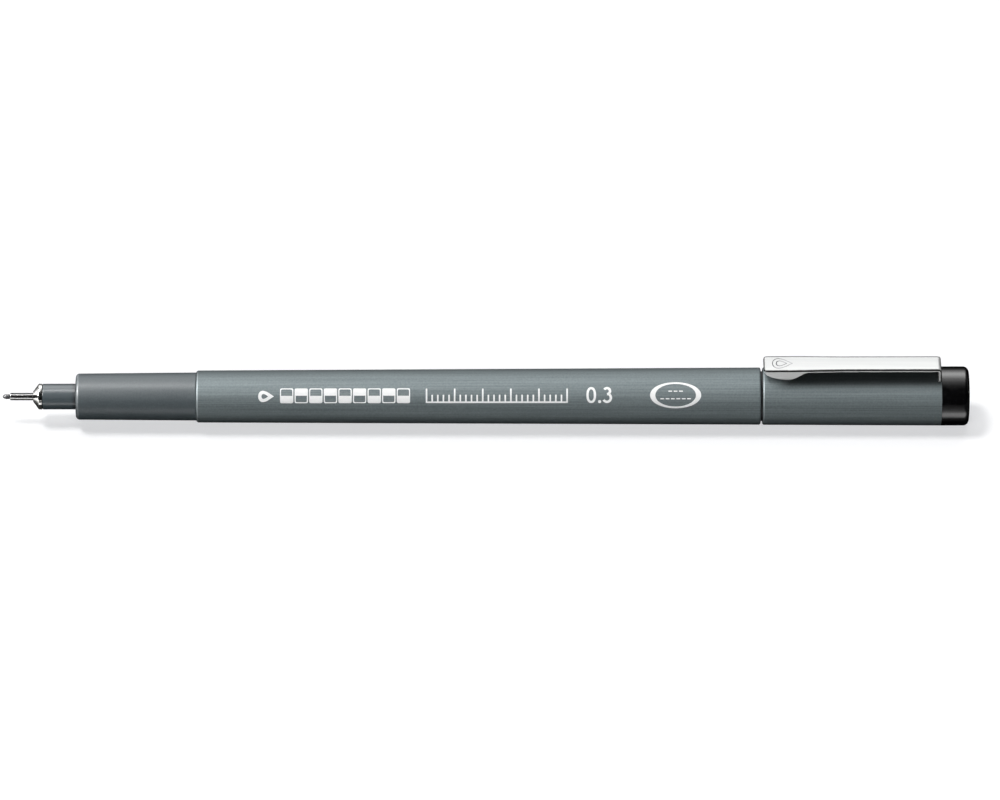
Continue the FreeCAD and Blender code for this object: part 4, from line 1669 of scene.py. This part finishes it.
@dataclass
class Studio:
    """Pale floor, soft light from overhead and the camera."""

    lamps: tuple[Softbox, ...] = (
        Softbox("key", 92.0, 20.0, (0.36, 0.28), 9.8, 1.2, True),
        Softbox("fill", 32.0, 0.0, (0.9, 0.3), 5.5, 1.0),
        Softbox("gleam", 66.0, 45.0, (0.3, 0.4), 21.0, 1.0, True, False),
    )
    camera_rise: float = 35.0
    view_width: float = 160.77
    lens: float = 300.0
    sensor: float = 36.0
    aim_along: float = 2.23
    aim_down: float = 0.60
    roll: float = -0.042
    floor_glow: float = 0.515
    floor_tint: float = 0.50
    floor_bounce: float = 0.10
    painted_reflection: tuple[tuple[float, float], ...] = (
        (0.0, 0.03),
        (0.12, 0.03),
        (0.165, 1.0),
        (0.205, 1.0),
        (0.25, 0.45),
        (0.31, 0.20),
        (0.5, 0.10),
        (1.0, 0.06),
    )
    painted_reflection_left: tuple[float, float] = (-0.079, -0.084)
    painted_reflection_right: tuple[float, float] = (0.0785, 0.083)
    sky: tuple[tuple[float, float], ...] = (
        (0.0, 0.002),
        (62.0, 0.002),
        (72.0, 0.02),
        (88.0, 0.10),
        (98.0, 0.24),
        (106.0, 0.33),
        (116.0, 0.66),
        (126.0, 0.95),
        (136.0, 0.95),
        (144.0, 0.47),
        (160.0, 0.36),
        (172.0, 0.05),
        (180.0, 0.005),
    )

    def build(self) -> None:
        """Sets up the floor, the lamps, the world and the camera."""
        self._floor()
        for lamp in self.lamps:
            self._lamp(lamp)
        self._world()
        self._camera()
        settings = bpy.context.scene.view_settings
        settings.view_transform = "Standard"
        settings.look = "None"

    def _ramp(self, tree: bpy.types.NodeTree, value, stops: Sequence[tuple[float, float]]):
        """A grey ramp over a value between 0 and 1."""
        ramp = node(tree, "ValToRGB", {0: value})
        ramp.color_ramp.interpolation = "EASE"
        elements = ramp.color_ramp.elements
        elements[0].position, elements[1].position = stops[0][0], stops[-1][0]
        for position, _ in stops[1:-1]:
            elements.new(position)
        for element, (_, grey) in zip(elements, stops, strict=True):
            element.color = (grey, grey, grey, 1.0)
        return ramp.outputs["Color"]

    def _floor(self) -> None:
        """A floor that looks white to the camera and glows a little for it alone, so
        that shadows on it stay pale: a painted light.

        Light that it throws back, other than in reflections, is dimmed to floor_bounce.
        Its reflections are a painted reflection: a white band in front of the pen and
        beyond its tip, dark behind it and beyond its cap.
        """
        side = np.linspace(-3.0, 3.0, 25)
        x, y = np.meshgrid(side, side, indexing="ij")
        points = np.stack([x, y, np.zeros_like(x)], axis=-1).reshape(-1, 3)
        number = np.arange(x.size).reshape(x.shape)
        quads = np.stack(
            [number[:-1, :-1], number[1:, :-1], number[1:, 1:], number[:-1, 1:]], axis=-1
        ).reshape(-1, 4)
        floor = mesh_piece("floor", points, quads)
        material = bpy.data.materials.new("white floor")
        material.use_nodes = True
        tree = material.node_tree
        shader = tree.nodes["Principled BSDF"]
        place = node(tree, "TexCoord", {}).outputs["Object"]
        parts = node(tree, "SeparateXYZ", {0: place}).outputs
        front = summed(tree, "MULTIPLY", parts["Y"], -20.0)
        painted_reflection = self._ramp(tree, front, self.painted_reflection)
        painted_reflection = blend(tree, ranged(tree, parts["X"], *self.painted_reflection_left), painted_reflection, 1.0)
        painted_reflection = blend(tree, ranged(tree, parts["X"], *self.painted_reflection_right), painted_reflection, 0.02)
        rays = node(tree, "LightPath", {}).outputs
        shade = blend(tree, rays["Is Glossy Ray"], self.floor_bounce, painted_reflection)
        shade = blend(tree, rays["Is Camera Ray"], shade, self.floor_tint)
        tree.links.new(shade, shader.inputs["Base Color"])
        glow = summed(tree, "MULTIPLY", rays["Is Camera Ray"], self.floor_glow)
        tree.links.new(glow, shader.inputs["Emission Strength"])
        shader.inputs["Emission Color"].default_value = (0.985, 0.995, 1.02, 1.0)
        shader.inputs["Roughness"].default_value = 0.9
        shader.inputs["Specular IOR Level"].default_value = 0.0
        floor.data.materials.append(material)

    def _lamp(self, box: Softbox) -> None:
        """Hangs one softbox."""
        rise, lean = math.radians(box.rise), math.radians(box.lean)
        towards = np.array(
            [-math.sin(lean), -math.cos(lean) * math.cos(rise), math.cos(lean) * math.sin(rise)]
        )
        lamp = bpy.data.lights.new(box.name, "AREA")
        lamp.shape = "RECTANGLE"
        lamp.size, lamp.size_y = box.size
        lamp.energy = box.energy
        light = bpy.data.objects.new(box.name, lamp)
        light.location = towards * box.distance
        light.rotation_euler = aim(towards)
        light.visible_camera = False
        light.visible_glossy = box.gleam
        light.visible_diffuse = box.light
        bpy.context.scene.collection.objects.link(light)

    def _world(self) -> None:
        """A dark studio with one softbox overhead and behind.

        Its brightness follows the angle of the direction about the pen's line, from
        the front horizon over the top to the rear horizon, and falls off to the sides.
        """
        world = bpy.data.worlds.new("studio")
        world.use_nodes = True
        bpy.context.scene.world = world
        tree = world.node_tree
        background = tree.nodes["Background"]
        place = node(tree, "TexCoord", {}).outputs["Generated"]
        parts = node(tree, "SeparateXYZ", {0: place}).outputs
        ahead = summed(tree, "MULTIPLY", parts["Y"], -1.0)
        angle = summed(tree, "ARCTAN2", parts["Z"], ahead)
        part = summed(tree, "DIVIDE", angle, math.pi)
        box = self._ramp(tree, part, [(at / 180, grey) for at, grey in self.sky])
        sides = {"From Min": 0.28, "From Max": 0.5, "To Min": 2.25, "To Max": 0.1}
        sides["Value"] = summed(tree, "ABSOLUTE", parts["X"])
        fade = node(tree, "MapRange", sides, interpolation_type="SMOOTHSTEP")
        tree.links.new(box, background.inputs["Color"])
        eye = node(tree, "LightPath", {}).outputs["Is Camera Ray"]
        inputs = {"Factor": eye, "A": fade.outputs["Result"], "B": 0.0}
        strength = node(tree, "Mix", inputs).outputs["Result"]
        tree.links.new(strength, background.inputs["Strength"])
        white = {"Strength": eye, "Color": (1.0, 1.0, 1.0, 1.0)}
        seen = node(tree, "Background", white).outputs[0]
        both = node(tree, "AddShader", {0: background.outputs[0], 1: seen}).outputs[0]
        tree.links.new(both, tree.nodes["World Output"].inputs["Surface"])

    def _camera(self) -> None:
        """A long lens level with the pen's line, looking down on its side."""
        rise = math.radians(self.camera_rise)
        towards = np.array([0.0, -math.cos(rise), math.sin(rise)])
        upward = np.array([0.0, math.sin(rise), math.cos(rise)])
        target = np.array([self.aim_along, 0.0, axis_height()]) - upward * self.aim_down
        distance = self.lens * self.view_width / self.sensor
        lens = bpy.data.cameras.new("camera")
        lens.lens = self.lens
        lens.sensor_width = self.sensor
        lens.clip_end = 20.0
        camera = bpy.data.objects.new("camera", lens)
        camera.location = (target + towards * distance) * MM
        level = Euler(aim(towards)).to_matrix()
        turn = Matrix.Rotation(math.radians(self.roll), 3, "Z")
        camera.rotation_euler = (level @ turn).to_euler()
        bpy.context.scene.collection.objects.link(camera)
        bpy.context.scene.camera = camera


def aim(direction: Array) -> tuple[float, float, float]:
    """The turn that points a camera's or lamp's front away from a direction.

    Args:
        direction: from the target to the lamp or camera, (3,).

    Returns:
        The rotation as Euler angles, keeping the sides level.
    """
    x, y, z = direction / np.linalg.norm(direction)
    return math.acos(z), 0.0, math.atan2(x, -y)


def main() -> None:
    """Builds the pen from its tip to its cap, then the studio."""
    logging.basicConfig(level=logging.INFO, format="%(name)s: %(message)s")
    shop = FinishShop()
    WritingEnd(shop).build()
    Grip(shop).build()
    barrel = Barrel(shop)
    barrel.build()
    Print(shop, barrel).build()
    Cap(shop).build()
    Clip(shop).build()
    Studio().build()


if __name__ == "__main__":
    main()
